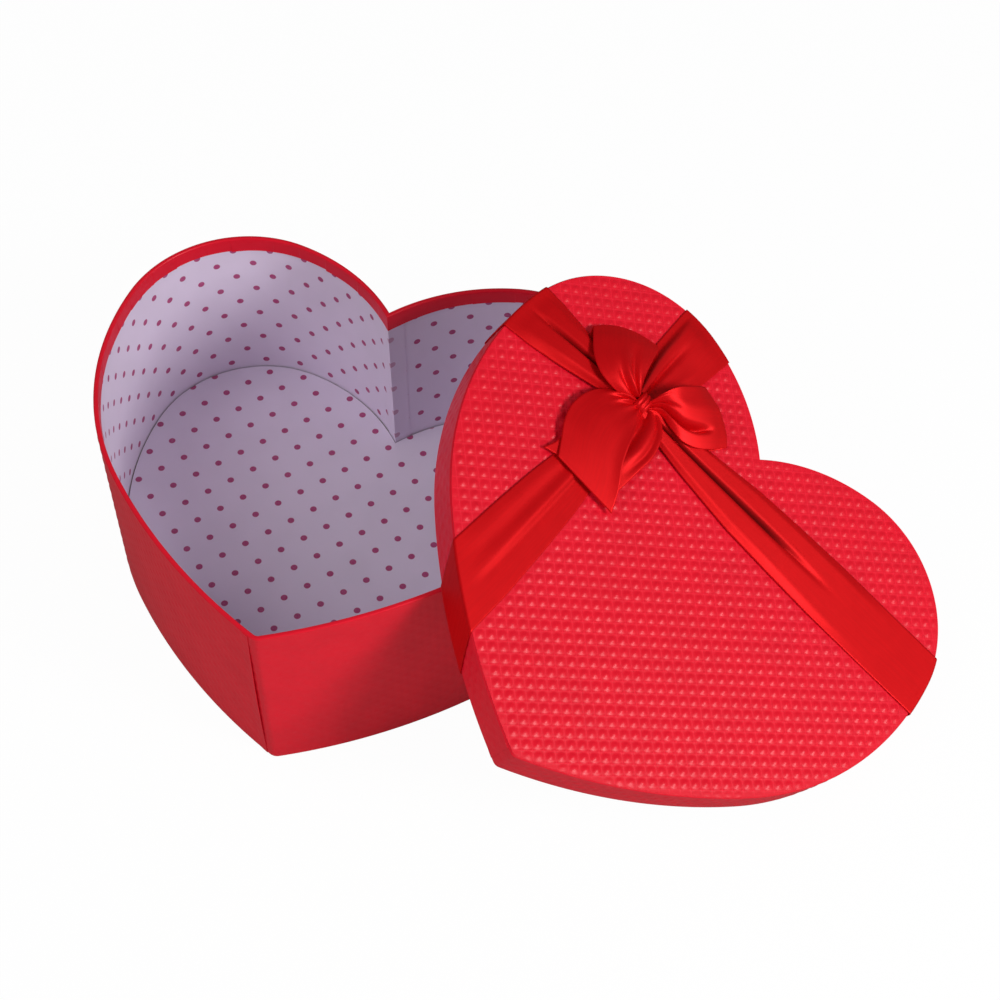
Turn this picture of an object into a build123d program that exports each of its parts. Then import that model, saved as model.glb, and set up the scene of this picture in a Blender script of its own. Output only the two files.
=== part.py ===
"""Heart gift box: an open rigid box with its lid taken off and leaning on the box's right wall.

Millimetres, +Z up. The origin is on the underside of the box, on the heart's axis, midway between
the centres of its two lobes. The heart's point looks along -Y.
"""
import os
from math import acos, cos, degrees, radians, sin, sqrt

from build123d import *

# Heart outline of the box's outer face: each half is four tangent arcs, from the notch to the point
lobe_spread = 75.6  # from the heart's axis to a lobe's centre
shoulder_radius = 112.0
lobe_radius = 68.5
side_radius = 151.8
flank_radius = 335.0
shoulder_end = 100.8  # degrees, direction where the shoulder arc turns into the lobe arc
lobe_end = 8.3
side_end = -42.6
point_round = 6.0  # the corner at the point

# Sheets and boards
paper = 0.3  # embossed red covering paper
tape = 0.2  # paper tape over the corner joints of the boards
wall_board = 1.0
lining_paper = 0.25
board_joint = 0.2  # gap where two wall boards butt
glue_gap = 0.1
wrap_slack = 0.3  # between a corner tape and the covering paper drawn over it

# Box
box_height = 113.4
bottom_board = 1.5
rim_turn_in = 11.0  # covering paper turned over the rim, measured down the inside
foot_turn_in = 15.0  # covering paper turned under the bottom board
sheet_margin = 2.0  # from the box's edge to the edge of the sheet under the bottom
pad_board = 1.0
pad_gap = 0.7  # from the lined wall to the floor pad
tape_reach = 14.0  # half the width of a corner tape

# Lid
lid_depth = 21.6
lid_board = 1.0
lid_clearance = 0.8  # per side, lid over box, with room for a turned-in ribbon
lid_point_round = 4.5  # the corner at the point, on the outside of the skirt
lid_turn_over = 15.0  # side paper turned over the lid's top, under the top sheet
top_margin = 0.6  # from the lid's edge to the edge of its top sheet

# Ribbon and bow, in the lid's own plane: x is from the left lobe's centre, y from the heart's notch
ribbon_width = 38.0
ribbon = 0.4
ribbon_tuck = 10.0  # ribbon turned in under the lid's edge
gathered = 11.0  # ribbon's width where the knot draws it in
long_fan = 95.0  # from the knot to where a long arm is at its full width
short_fan = 57.0
knot_x = 6.6
knot_y = -27.1
across_left_y = -30.4  # middle of the cross ribbon at the lid's left edge
across_right_y = -24.6
down_top_x = 9.6  # middle of the lengthwise ribbon at the level of the lobes' tops
down_foot_x = 2.6  # and at the level of the heart's point
knot_length = 10.4
knot_breadth = 8.4
knot_height = 8.5
bow_neck = 7.4  # width of a loop or tail where it leaves the knot
loop_length = 40.0
loop_width = 38.0
loop_shoulder = 16.0  # from the knot's middle to where a loop is nearly at its full width
loop_taper = 2.0  # each edge of the shoulder, inside the full width
loop_height = 15.0
loop_bend = 3.7  # radius of the fold at a loop's end
loop_round = 9.0  # corners of a loop's end, seen from above
loop_neck_low = 2.5
loop_neck_high = 6.0
loop_angle = 34.0  # degrees, each loop's rise from the cross ribbon
tail_length = 63.5
tail_crest = 26.0  # from the knot's middle to a tail's highest place
tail_belly = 29.0  # and to where its outer edge stands out most
tail_rise = 13.0
tail_neck_rise = 4.2
tail_end_rise = 5.0
tail_spacing = 2.5  # between the front tail and the back one
tail_bulge = 27.5
front_tail_lean = 7.0  # sideways, from the knot to the middle of the tail's end
back_tail_lean = -2.0

# How the lid leans on the box
lean_direction = -15.0  # degrees about Z from +X, the way the lid slopes down
lid_spin = 5.4  # degrees in the lid's plane, from its own X axis to that slope
lid_reach = 58.8  # from the box's right side to the lid's axis, along the slope's direction
lid_shift = 24.3  # and across it
rest_gap = 0.3  # left between the lid and the rim that carries it

os.makedirs("parts", exist_ok=True)


def polar(length, angle):
    """Vector of a length at an angle in degrees."""
    return Vector(length * cos(radians(angle)), length * sin(radians(angle)))


# Centres of the right half's arcs
lobe_centre = Vector(lobe_spread, 0)
shoulder_centre = lobe_centre - polar(shoulder_radius - lobe_radius, shoulder_end)
side_centre = lobe_centre - polar(side_radius - lobe_radius, lobe_end)
flank_centre = side_centre - polar(flank_radius - side_radius, side_end)
notch_y = shoulder_centre.Y + sqrt(shoulder_radius**2 - shoulder_centre.X**2)
point_y = flank_centre.Y - sqrt(flank_radius**2 - flank_centre.X**2)
half_width = side_centre.X + side_radius


def heart(grow, corner=point_round):
    """Face of the heart, moved out from the box's outer face by grow; a negative grow is inside it.

    The radius at the point is corner on the box's outer face, and falls to a sharp point further in.
    """
    notch = degrees(acos(-shoulder_centre.X / (shoulder_radius + grow)))
    turn = max(0.0, corner + grow)
    point = -degrees(acos(-flank_centre.X / (flank_radius + grow - turn)))
    tip = Vector(0, flank_centre.Y + (flank_radius + grow - turn) * sin(radians(point)))
    with BuildSketch() as face:
        with BuildLine():
            CenterArc(shoulder_centre, shoulder_radius + grow, notch, shoulder_end - notch)
            CenterArc(lobe_centre, lobe_radius + grow, shoulder_end, lobe_end - shoulder_end)
            CenterArc(side_centre, side_radius + grow, lobe_end, side_end - lobe_end)
            CenterArc(flank_centre, flank_radius + grow, side_end, point - side_end)
            if turn > 0:
                CenterArc(tip, turn, point, -90 - point)
            mirror(about=Plane.YZ)
        make_face()
    return face.sketch


def heart_ring(outer, inner, corner=point_round):
    """Face between two hearts."""
    with BuildSketch() as face:
        add(heart(outer, corner))
        add(heart(inner, corner), mode=Mode.SUBTRACT)
    return face.sketch


# Layers of the box's wall, as depths inside its outer face
tape_depth = paper + wrap_slack
board_depth = tape_depth + tape + glue_gap
lining_depth = board_depth + wall_board + glue_gap
turn_in_depth = lining_depth + lining_paper + glue_gap
wall_depth = turn_in_depth + paper

# Levels of the box's bottom
wrap_foot = paper
board_foot = wrap_foot + paper
pad_foot = board_foot + bottom_board
pad_paper_foot = pad_foot + pad_board
board_rim = box_height - paper

# Layers of the lid's skirt, as distances outside the box's outer face
skirt_inside = lid_clearance
skirt_board_in = skirt_inside + paper
skirt_board_out = skirt_board_in + lid_board
skirt_tape_in = skirt_board_out + glue_gap
skirt_tape_out = skirt_tape_in + tape
skirt_wrap_in = skirt_tape_out + wrap_slack
skirt_outside = skirt_wrap_in + paper
lid_corner = lid_point_round - skirt_outside

# Levels of the lid, measured down from its top
lid_wrap_top = paper
lid_board_top = lid_wrap_top + paper
lid_lining_top = lid_board_top + lid_board
lid_ceiling = lid_lining_top + lining_paper
skirt_board_foot = lid_depth - paper

# Ribbons round the lid: the lengthwise one lies on the paper, the cross one over it
ribbon_in = skirt_outside + glue_gap
ribbon_out = ribbon_in + ribbon
ribbon_foot = lid_depth + glue_gap
lid_foot = ribbon_foot + ribbon
tuck_out = skirt_inside - glue_gap
tuck_in = tuck_out - ribbon
down_level = glue_gap
across_level = down_level + ribbon + glue_gap
bow_level = across_level + ribbon + rest_gap

# The lid leans as low as it can: one edge on the floor, its skirt and ceiling clear of the rim
slope = polar(1, lean_direction)
lid_spot = polar(half_width + lid_reach, lean_direction) + polar(lid_shift, lean_direction + 90)
lowest = polar(1, lid_spin)
lid_support = side_centre.dot(lowest) + side_radius + ribbon_out


def leaning_plane(tilt):
    """The lid's top plane at a tilt in degrees, with the lid's lowest edge on the floor."""
    height = lid_support * sin(radians(tilt)) + lid_foot * cos(radians(tilt))
    normal = slope * sin(radians(tilt)) + Vector(0, 0, cos(radians(tilt)))
    downhill = slope * cos(radians(tilt)) - Vector(0, 0, sin(radians(tilt)))
    x_dir = downhill * cos(radians(lid_spin)) - normal.cross(downhill) * sin(radians(lid_spin))
    return Plane(origin=lid_spot + Vector(0, 0, height), x_dir=x_dir, z_dir=normal)


def heart_half_width(y, grow):
    """Half width of the heart on its right flank and side, at a place along its axis."""
    side_limit = side_centre.Y + (side_radius + grow) * sin(radians(side_end))
    centre, radius = (side_centre, side_radius) if y > side_limit else (flank_centre, flank_radius)
    return centre.X + sqrt(max(0.0, (radius + grow) ** 2 - (y - centre.Y) ** 2))


rim_samples = 400
rim_points = []
for index in range(rim_samples):
    rim_y = point_y * (1 - index / rim_samples)
    for depth in (0, wall_depth):
        rim_points.append(Vector(max(0.0, heart_half_width(rim_y, -depth)), rim_y, box_height))


def rim_clearance(tilt):
    """Least room between the box's right rim and the underside of the lid at a tilt."""
    plane = leaning_plane(tilt)
    least = box_height
    for rim_point in rim_points:
        from_lid = rim_point - plane.origin
        level = from_lid.dot(plane.z_dir)
        place_y = from_lid.dot(plane.y_dir)
        place_x = abs(from_lid.dot(plane.x_dir))
        if place_x < heart_half_width(place_y, tuck_in - rest_gap):
            least = min(least, -lid_ceiling - level)
        elif place_x < heart_half_width(place_y, ribbon_out + rest_gap):
            least = min(least, -lid_foot - level)
    return least


low_tilt = 5.0
high_tilt = 60.0
for _ in range(25):
    middle_tilt = (low_tilt + high_tilt) / 2
    if rim_clearance(middle_tilt) < rest_gap:
        low_tilt = middle_tilt
    else:
        high_tilt = middle_tilt
lid_plane = leaning_plane(high_tilt)
print("lid tilt", round(high_tilt, 3), "lid origin", lid_plane.origin, "x", lid_plane.x_dir, "z", lid_plane.z_dir)

# Rectangles that are sure to reach past the heart
past_edge = 2 * (lobe_spread + lobe_radius + side_radius)


def corner_strip(towards):
    """Strip along the heart's axis that takes in one corner tape: towards is 1 for the notch, -1 for the point."""
    with BuildSketch() as face:
        with Locations((0, towards * past_edge / 2)):
            Rectangle(2 * tape_reach, past_edge)
    return face.sketch


# Box: boards
with BuildPart() as base_bottom_board:
    with BuildSketch(Plane.XY.offset(board_foot)):
        add(heart(-lining_depth))
    extrude(amount=bottom_board)
base_bottom_board.part.label = "base_bottom_board"
export_step(base_bottom_board.part, "parts/base_bottom_board.step")

for side, keep in (("left", Keep.BOTTOM), ("right", Keep.TOP)):
    with BuildPart() as base_wall:
        with BuildSketch(Plane.XY.offset(board_foot)):
            add(heart_ring(-board_depth, -board_depth - wall_board))
        extrude(amount=board_rim - board_foot)
        split(bisect_by=Plane.YZ.offset(board_joint / 2 if side == "right" else -board_joint / 2), keep=keep)
    base_wall.part.label = f"base_{side}_wall"
    export_step(base_wall.part, f"parts/base_{side}_wall.step")

# Box: paper tape over the two upright joints of the boards
for corner, towards in (("notch", 1), ("point", -1)):
    with BuildPart() as base_tape:
        with BuildSketch(Plane.XY.offset(board_foot)):
            add(heart_ring(-tape_depth, -tape_depth - tape))
            add(corner_strip(towards), mode=Mode.INTERSECT)
        extrude(amount=board_rim - board_foot)
    base_tape.part.label = f"base_{corner}_tape"
    export_step(base_tape.part, f"parts/base_{corner}_tape.step")

# Box: covering paper, turned in over the rim and under the bottom
with BuildPart() as base_wrap:
    with BuildSketch(Plane.XY.offset(wrap_foot)):
        add(heart_ring(0, -paper))
    extrude(amount=box_height - wrap_foot)
    with BuildSketch(Plane.XY.offset(wrap_foot)):
        add(heart_ring(0, -foot_turn_in))
    extrude(amount=paper)
    with BuildSketch(Plane.XY.offset(board_rim)):
        add(heart_ring(0, -wall_depth))
    extrude(amount=paper)
    with BuildSketch(Plane.XY.offset(box_height - rim_turn_in)):
        add(heart_ring(-turn_in_depth, -wall_depth))
    extrude(amount=rim_turn_in)
base_wrap.part.label = "base_wrap"
export_step(base_wrap.part, "parts/base_wrap.step")

with BuildPart() as base_bottom_sheet:
    with BuildSketch():
        add(heart(-sheet_margin))
    extrude(amount=paper)
base_bottom_sheet.part.label = "base_bottom_sheet"
export_step(base_bottom_sheet.part, "parts/base_bottom_sheet.step")

# Box: dotted lining of the wall, and the padded floor laid in last
with BuildPart() as base_wall_lining:
    with BuildSketch(Plane.XY.offset(pad_foot)):
        add(heart_ring(-lining_depth, -lining_depth - lining_paper))
    extrude(amount=board_rim - pad_foot)
base_wall_lining.part.label = "base_wall_lining"
export_step(base_wall_lining.part, "parts/base_wall_lining.step")

with BuildPart() as floor_pad_board:
    with BuildSketch(Plane.XY.offset(pad_foot)):
        add(heart(-turn_in_depth - pad_gap))
    extrude(amount=pad_board)
floor_pad_board.part.label = "floor_pad_board"
export_step(floor_pad_board.part, "parts/floor_pad_board.step")

with BuildPart() as floor_pad_paper:
    with BuildSketch(Plane.XY.offset(pad_paper_foot)):
        add(heart(-turn_in_depth - pad_gap))
    extrude(amount=lining_paper)
floor_pad_paper.part.label = "floor_pad_paper"
export_step(floor_pad_paper.part, "parts/floor_pad_paper.step")

# Lid: boards
with BuildPart() as lid_top_board:
    with BuildSketch(lid_plane.offset(-lid_lining_top)):
        add(heart(skirt_board_in - glue_gap, lid_corner))
    extrude(amount=lid_board)
lid_top_board.part.label = "lid_top_board"
export_step(lid_top_board.part, "parts/lid_top_board.step")

lid_axis_plane = Plane(origin=lid_plane.origin, x_dir=lid_plane.y_dir, z_dir=lid_plane.x_dir)
for side, keep in (("left", Keep.BOTTOM), ("right", Keep.TOP)):
    with BuildPart() as lid_wall:
        with BuildSketch(lid_plane.offset(-skirt_board_foot)):
            add(heart_ring(skirt_board_out, skirt_board_in, lid_corner))
        extrude(amount=skirt_board_foot - lid_board_top)
        split(bisect_by=lid_axis_plane.offset(board_joint / 2 if side == "right" else -board_joint / 2), keep=keep)
    lid_wall.part.label = f"lid_{side}_wall"
    export_step(lid_wall.part, f"parts/lid_{side}_wall.step")

for corner, towards in (("notch", 1), ("point", -1)):
    with BuildPart() as lid_tape:
        with BuildSketch(lid_plane.offset(-skirt_board_foot)):
            add(heart_ring(skirt_tape_out, skirt_tape_in, lid_corner))
            add(corner_strip(towards), mode=Mode.INTERSECT)
        extrude(amount=skirt_board_foot - lid_board_top)
    lid_tape.part.label = f"lid_{corner}_tape"
    export_step(lid_tape.part, f"parts/lid_{corner}_tape.step")

# Lid: side paper, turned over the top and in under the skirt, then the top sheet and the lining
with BuildPart() as lid_side_wrap:
    with BuildSketch(lid_plane.offset(-lid_depth)):
        add(heart_ring(skirt_outside, skirt_wrap_in, lid_corner))
    extrude(amount=lid_depth - lid_wrap_top)
    with BuildSketch(lid_plane.offset(-lid_board_top)):
        add(heart_ring(skirt_outside, skirt_outside - lid_turn_over, lid_corner))
    extrude(amount=paper)
    with BuildSketch(lid_plane.offset(-lid_depth)):
        add(heart_ring(skirt_outside, skirt_inside, lid_corner))
    extrude(amount=paper)
    with BuildSketch(lid_plane.offset(-lid_depth)):
        add(heart_ring(skirt_board_in, skirt_inside, lid_corner))
    extrude(amount=lid_depth - lid_ceiling)
lid_side_wrap.part.label = "lid_side_wrap"
export_step(lid_side_wrap.part, "parts/lid_side_wrap.step")

with BuildPart() as lid_top_sheet:
    with BuildSketch(lid_plane.offset(-paper)):
        add(heart(skirt_outside - top_margin, lid_corner))
    extrude(amount=paper)
lid_top_sheet.part.label = "lid_top_sheet"
export_step(lid_top_sheet.part, "parts/lid_top_sheet.step")

with BuildPart() as lid_lining:
    with BuildSketch(lid_plane.offset(-lid_ceiling)):
        add(heart(skirt_board_in - glue_gap, lid_corner))
    extrude(amount=lining_paper)
lid_lining.part.label = "lid_lining"
export_step(lid_lining.part, "parts/lid_lining.step")

# Ribbons: each is drawn in at the knot, fans out to its full width and turns in under the lid's edge
lid_half_width = half_width + skirt_outside
lobe_top = lobe_radius + skirt_outside
knot_place = Vector(knot_x - lobe_spread, notch_y + knot_y)


def fanned(edge_x, edge_y, across, reach):
    """Corners of a ribbon's arm from the knot through a place at the lid's edge; across is its width's direction."""
    along = (Vector(edge_x, edge_y) - knot_place).normalized()
    full = knot_place + along * reach
    end = knot_place + along * past_edge
    edge = across * (ribbon_width / 2)
    drawn = across * (gathered / 2)
    return [knot_place + drawn, full + edge, end + edge, end - edge, full - edge, knot_place - drawn]


across_arms = (
    fanned(-lid_half_width, notch_y + across_left_y, Vector(0, 1), short_fan),
    fanned(lid_half_width, notch_y + across_right_y, Vector(0, 1), long_fan),
)
down_arms = (
    fanned(down_top_x - lobe_spread, lobe_top, Vector(1, 0), short_fan),
    fanned(down_foot_x - lobe_spread, point_y, Vector(1, 0), long_fan),
)
for ribbon_name, ribbon_arms, ribbon_level in (
    ("ribbon_across", across_arms, across_level),
    ("ribbon_down", down_arms, down_level),
):
    with BuildPart() as ribbon_strip:
        with BuildSketch(lid_plane.offset(-lid_foot)):
            add(heart(ribbon_out, lid_corner))
        extrude(amount=lid_foot + ribbon_level + ribbon)
        with BuildSketch(lid_plane.offset(-ribbon_foot)):
            add(heart(ribbon_in, lid_corner))
        extrude(amount=ribbon_foot + ribbon_level, mode=Mode.SUBTRACT)
        with BuildSketch(lid_plane.offset(-lid_foot)):
            add(heart(tuck_in, lid_corner))
        extrude(amount=ribbon, mode=Mode.SUBTRACT)
        with BuildSketch(lid_plane.offset(-ribbon_foot)):
            add(heart_ring(tuck_out, tuck_in, lid_corner))
        extrude(amount=ribbon_tuck)
        with BuildSketch(lid_plane.offset(-lid_foot)):
            for arm in ribbon_arms:
                with BuildLine():
                    Polyline(*arm, close=True)
                make_face()
        extrude(amount=lid_foot + ribbon_level + ribbon, mode=Mode.INTERSECT)
    ribbon_strip.part.label = ribbon_name
    export_step(ribbon_strip.part, f"parts/{ribbon_name}.step")

# Bow: a knot, two hollow loops of ribbon and two tails
knot_spot = lid_plane.from_local_coords(knot_place + Vector(0, 0, bow_level))
bow_start = knot_length / 2 + rest_gap
tail_start = knot_breadth / 2 + rest_gap


def bow_planes(angle):
    """Planes through the knot for a loop or tail at an angle in the lid's plane: its plan and its side view."""
    towards = lid_plane.x_dir * cos(radians(angle)) + lid_plane.y_dir * sin(radians(angle))
    plan = Plane(origin=knot_spot, x_dir=towards, z_dir=lid_plane.z_dir)
    side_view = Plane(origin=knot_spot, x_dir=towards, z_dir=towards.cross(lid_plane.z_dir))
    return plan, side_view


with BuildPart() as bow_knot:
    with BuildSketch(bow_planes(0)[0]):
        Ellipse(knot_length / 2, knot_breadth / 2)
    extrude(amount=knot_height)
    fillet(bow_knot.edges().group_by(Axis(knot_spot, lid_plane.z_dir))[-1], knot_breadth / 4)
bow_knot.part.label = "bow_knot"
export_step(bow_knot.part, "parts/bow_knot.step")

for side, angle in (("left", 180 - loop_angle), ("right", loop_angle)):
    plan_plane, side_plane = bow_planes(angle)
    with BuildPart() as bow_loop:
        with BuildSketch(side_plane):
            with BuildLine():
                crown = ThreePointArc(
                    (bow_start, loop_neck_high),
                    (loop_length / 2, loop_height),
                    (loop_length - loop_bend, 2 * loop_bend),
                )
                fold = ThreePointArc(crown @ 1, (loop_length, loop_bend), (loop_length - loop_bend, 0))
                Polyline(fold @ 1, (bow_start, loop_neck_low), crown @ 0)
            make_face()
            offset(amount=-ribbon, mode=Mode.SUBTRACT)
        extrude(amount=loop_width, both=True)
        with BuildSketch(plan_plane) as loop_plan:
            with BuildLine():
                Polyline(
                    (bow_start, bow_neck / 2),
                    (loop_shoulder, loop_width / 2 - loop_taper),
                    (loop_length, loop_width / 2),
                    (loop_length, -loop_width / 2),
                    (loop_shoulder, loop_taper - loop_width / 2),
                    (bow_start, -bow_neck / 2),
                    close=True,
                )
            make_face()
            fillet(loop_plan.vertices().group_by(Axis.X)[-1], loop_round)
        extrude(amount=loop_height + knot_height, mode=Mode.INTERSECT)
    bow_loop.part.label = f"bow_{side}_loop"
    export_step(bow_loop.part, f"parts/bow_{side}_loop.step")

for place, swing, lean, drop in (("front", 1, front_tail_lean, 0), ("back", -1, back_tail_lean, tail_spacing)):
    plan_plane, side_plane = bow_planes(-90)
    with BuildPart() as bow_tail:
        with BuildSketch(side_plane):
            with BuildLine():
                lower = ThreePointArc(
                    (tail_start, tail_neck_rise - drop),
                    (tail_crest, tail_rise - drop),
                    (tail_length, tail_end_rise - drop),
                )
                upper = ThreePointArc(
                    (tail_start, tail_neck_rise - drop + ribbon),
                    (tail_crest, tail_rise - drop + ribbon),
                    (tail_length, tail_end_rise - drop + ribbon),
                )
                Line(lower @ 0, upper @ 0)
                Line(lower @ 1, upper @ 1)
            make_face()
        extrude(amount=loop_width, both=True)
        with BuildSketch(plan_plane):
            with BuildLine():
                outer_edge = ThreePointArc(
                    (tail_start, -swing * bow_neck / 2),
                    (tail_belly, -swing * tail_bulge),
                    (tail_length, lean - swing * ribbon_width / 2),
                )
                inner_edge = Line((tail_start, swing * bow_neck / 2), (tail_length, lean + swing * ribbon_width / 2))
                Line(outer_edge @ 0, inner_edge @ 0)
                Line(outer_edge @ 1, inner_edge @ 1)
            make_face()
        extrude(amount=tail_rise + knot_height, mode=Mode.INTERSECT)
    bow_tail.part.label = f"bow_{place}_tail"
    export_step(bow_tail.part, f"parts/bow_{place}_tail.step")
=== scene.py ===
"""Looks of a heart gift box: an open box in embossed red paper, dotted inside, and its lid with a satin bow.

Lengths are metres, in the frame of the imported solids. The lid's own coordinates have their origin on the
heart's axis in the plane of the lid's top, x across the heart, y from its point to its notch and z upwards.
"""

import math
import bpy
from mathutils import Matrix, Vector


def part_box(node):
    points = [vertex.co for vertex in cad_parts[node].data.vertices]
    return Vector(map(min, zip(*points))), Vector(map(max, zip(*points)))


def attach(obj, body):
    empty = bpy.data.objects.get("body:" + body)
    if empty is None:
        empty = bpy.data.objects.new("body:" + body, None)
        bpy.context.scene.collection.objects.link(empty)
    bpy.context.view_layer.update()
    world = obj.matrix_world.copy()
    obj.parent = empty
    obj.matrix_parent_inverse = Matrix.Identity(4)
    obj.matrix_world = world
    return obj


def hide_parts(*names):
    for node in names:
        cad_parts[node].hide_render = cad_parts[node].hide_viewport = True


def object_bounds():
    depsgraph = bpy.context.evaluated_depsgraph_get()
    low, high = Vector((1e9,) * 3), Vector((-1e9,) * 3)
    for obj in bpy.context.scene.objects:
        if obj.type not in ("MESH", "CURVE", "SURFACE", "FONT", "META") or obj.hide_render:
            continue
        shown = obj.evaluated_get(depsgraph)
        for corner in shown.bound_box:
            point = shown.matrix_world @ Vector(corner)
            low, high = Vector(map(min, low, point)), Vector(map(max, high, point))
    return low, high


bl_info = {
    "name": "Heart Gift Box",
    "version": (1, 0, 0),
    "blender": (4, 5, 0),
    "location": "View3D > Sidebar > Heart Box",
    "description": "Embossed papers, dotted lining, satin ribbon and bow of a heart-shaped gift box",
    "category": "Add Mesh",
}

import bpy
import numpy as np
from bpy.props import FloatProperty, FloatVectorProperty, IntProperty, PointerProperty
from bpy.types import Operator, Panel, PropertyGroup
from mathutils import Matrix, Vector
from mathutils.geometry import delaunay_2d_cdt

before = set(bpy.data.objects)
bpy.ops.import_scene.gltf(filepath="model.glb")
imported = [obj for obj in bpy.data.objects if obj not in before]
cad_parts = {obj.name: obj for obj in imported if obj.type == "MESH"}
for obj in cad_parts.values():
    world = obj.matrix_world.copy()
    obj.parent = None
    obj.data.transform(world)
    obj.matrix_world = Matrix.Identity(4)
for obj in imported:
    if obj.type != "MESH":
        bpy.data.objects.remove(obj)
cad_low, cad_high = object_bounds()
mm = 0.001

COLUMN = 1.2 * mm  # width of the faces in folded papers, round the heart
PAD_LEAST, PAD_SPREAD = 0.85, 0.3  # heights of the waffle's pads, as shares of the pad rise
PAD_SLOPE, LINE_SLOPE = (0.02, 0.48), (0.44, 0.5)  # where they fall and rise from a pad's middle, in pitches
FOLDED = 40.0  # degrees between faces from which a folded paper's edge is sharp


def srgb(red, green, blue):
    """Linear colour of a screen colour given in steps of 0 to 255."""
    shares = (step / 255 for step in (red, green, blue))
    return tuple(s / 12.92 if s <= 0.04045 else ((s + 0.055) / 1.055) ** 2.4 for s in shares)


def length(name, description, default):
    """A length that a user can change."""
    return FloatProperty(name=name, description=description, default=default, unit="LENGTH", precision=5)


def angle(name, description, degrees):
    """An angle that a user can change."""
    return FloatProperty(name=name, description=description, default=math.radians(degrees), subtype="ANGLE")


def colour(name, description, default):
    """A colour that a user can change."""
    return numbers(name, description, default, subtype="COLOR", min=0, max=1)


def numbers(name, description, default, **kind):
    """A place, or another row of numbers, that a user can change."""
    return FloatVectorProperty(name=name, description=description, default=default, size=len(default), **kind)


def share(name, description, default):
    """A plain number that a user can change."""
    return FloatProperty(name=name, description=description, default=default)


class HeartOutline(PropertyGroup):
    """Heart of the box's outer face: each half is four tangent arcs from the notch to the point."""

    lobe_spread: length("Lobe spread", "From the heart's axis to a lobe's centre", 75.6 * mm)
    shoulder_radius: length("Shoulder radius", "Arc beside the notch", 112.0 * mm)
    lobe_radius: length("Lobe radius", "Arc over the top of a lobe", 68.5 * mm)
    side_radius: length("Side radius", "Arc down the widest part", 151.8 * mm)
    flank_radius: length("Flank radius", "Arc that runs to the point", 335.0 * mm)
    shoulder_end: angle("Shoulder end", "Direction where the shoulder turns into the lobe", 100.8)
    lobe_end: angle("Lobe end", "Direction where the lobe turns into the side", 8.3)
    side_end: angle("Side end", "Direction where the side turns into the flank", -42.6)
    point_round: length("Point round", "Radius of the corner at the point", 6.0 * mm)


class PaperLayers(PropertyGroup):
    """Papers of the box and how they are folded."""

    paper: length("Paper", "Thickness of the red covering paper", 0.3 * mm)
    lining: length("Lining", "Thickness of the dotted lining paper", 0.25 * mm)
    lining_depth: length("Lining depth", "From the box's outer face to the back of its lining", 2.0 * mm)
    wall_depth: length("Wall depth", "From the box's outer face to the turned-in paper's", 2.65 * mm)
    rim_round: length("Rim round", "Radius of the paper where it is drawn over the rim", 0.9 * mm)
    foot_round: length("Foot round", "Radius of the paper where it is drawn under the box", 0.8 * mm)
    rim_turn_in: length("Rim turn-in", "Paper turned over the rim, down the inside", 9.2 * mm)
    notch_turn_in: length("Notch turn-in", "How much further the paper is turned in at the notch", 1.7 * mm)
    fold_reach: length("Fold reach", "Folded paper shown under the box and over the lid's edge", 4.0 * mm)
    seam_offset: length("Seam offset", "From the heart's point to the upright seam of the paper", 4.2 * mm)
    seam_lap: length("Seam lap", "Overlap of the paper at its seam", 5.0 * mm)
    seam_curl: length("Seam curl", "How far the seam's free edge stands off, at half height", 0.9 * mm)
    lining_lap: length("Lining lap", "How far the lining's end is lapped past the notch, each way", 9.5 * mm)
    tab_pitch: length("Tab pitch", "Mean width of the tabs that the turned-in paper is slit into", 21.0 * mm)
    tab_step: length("Tab step", "How unevenly the tabs end", 0.55 * mm)


class LidPlace(PropertyGroup):
    """How the lid leans on the box, and its outer sizes."""

    lean_direction: angle("Lean direction", "The way the lid slopes down, about the upright axis", -15.0)
    spin: angle("Spin", "In the lid's plane, from its own x axis to that slope", 5.4)
    reach: length("Reach", "From the box's right side to the lid's axis, along the slope", 58.8 * mm)
    shift: length("Shift", "From the box's axis to the lid's, across the slope", 24.3 * mm)
    skirt_outside: length("Skirt outside", "From the box's outer face to the skirt's", 3.0 * mm)
    skirt_inside: length("Skirt inside", "From the box's outer face to the inside of the skirt", 0.8 * mm)
    depth: length("Depth", "Height of the lid", 21.6 * mm)
    ceiling: length("Ceiling", "From the lid's top to its lining", 1.85 * mm)
    edge_round: length("Edge round", "Radius of the papered edge round the lid's top", 1.0 * mm)
    point_round: length("Point round", "Radius of the skirt's corner at the point", 4.5 * mm)
    top_margin: length("Top margin", "From the lid's edge to the edge of its top sheet", 0.6 * mm)


class WaffleRelief(PropertyGroup):
    """The pattern pressed into the covering paper: square pads with a fine raised line between them."""

    pitch: length("Pitch", "From one raised line to the next", 6.03 * mm)
    turn: angle("Turn", "Of the lines from the heart's axis", 45.25)
    start: numbers("Start", "First lines on the lid, in shares of the pitch", (0.45, 0.31))
    skew: angle("Skew", "Turn of each family of lines towards the other", 1.0)
    pad_rise: length("Pad rise", "Height of a pad on the lid", 0.92 * mm)
    line_rise: length("Line rise", "Height of a line on the lid", 0.12 * mm)
    under_ribbon: share("Under ribbon", "Height under a ribbon, as a share of the lid's", 0.2)
    wall_share: share("Wall share", "Height on the box's wall, as a share of the lid's", 0.32)
    skirt_share: share("Skirt share", "Height on the lid's skirt, as a share of the lid's", 0.34)
    # Painted highlight on the raised lines: the sides get this share of the lid's
    side_line_highlight: share("Side tone", "How light the lines are on the sides, as a share of the lid's", 0.15)


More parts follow.
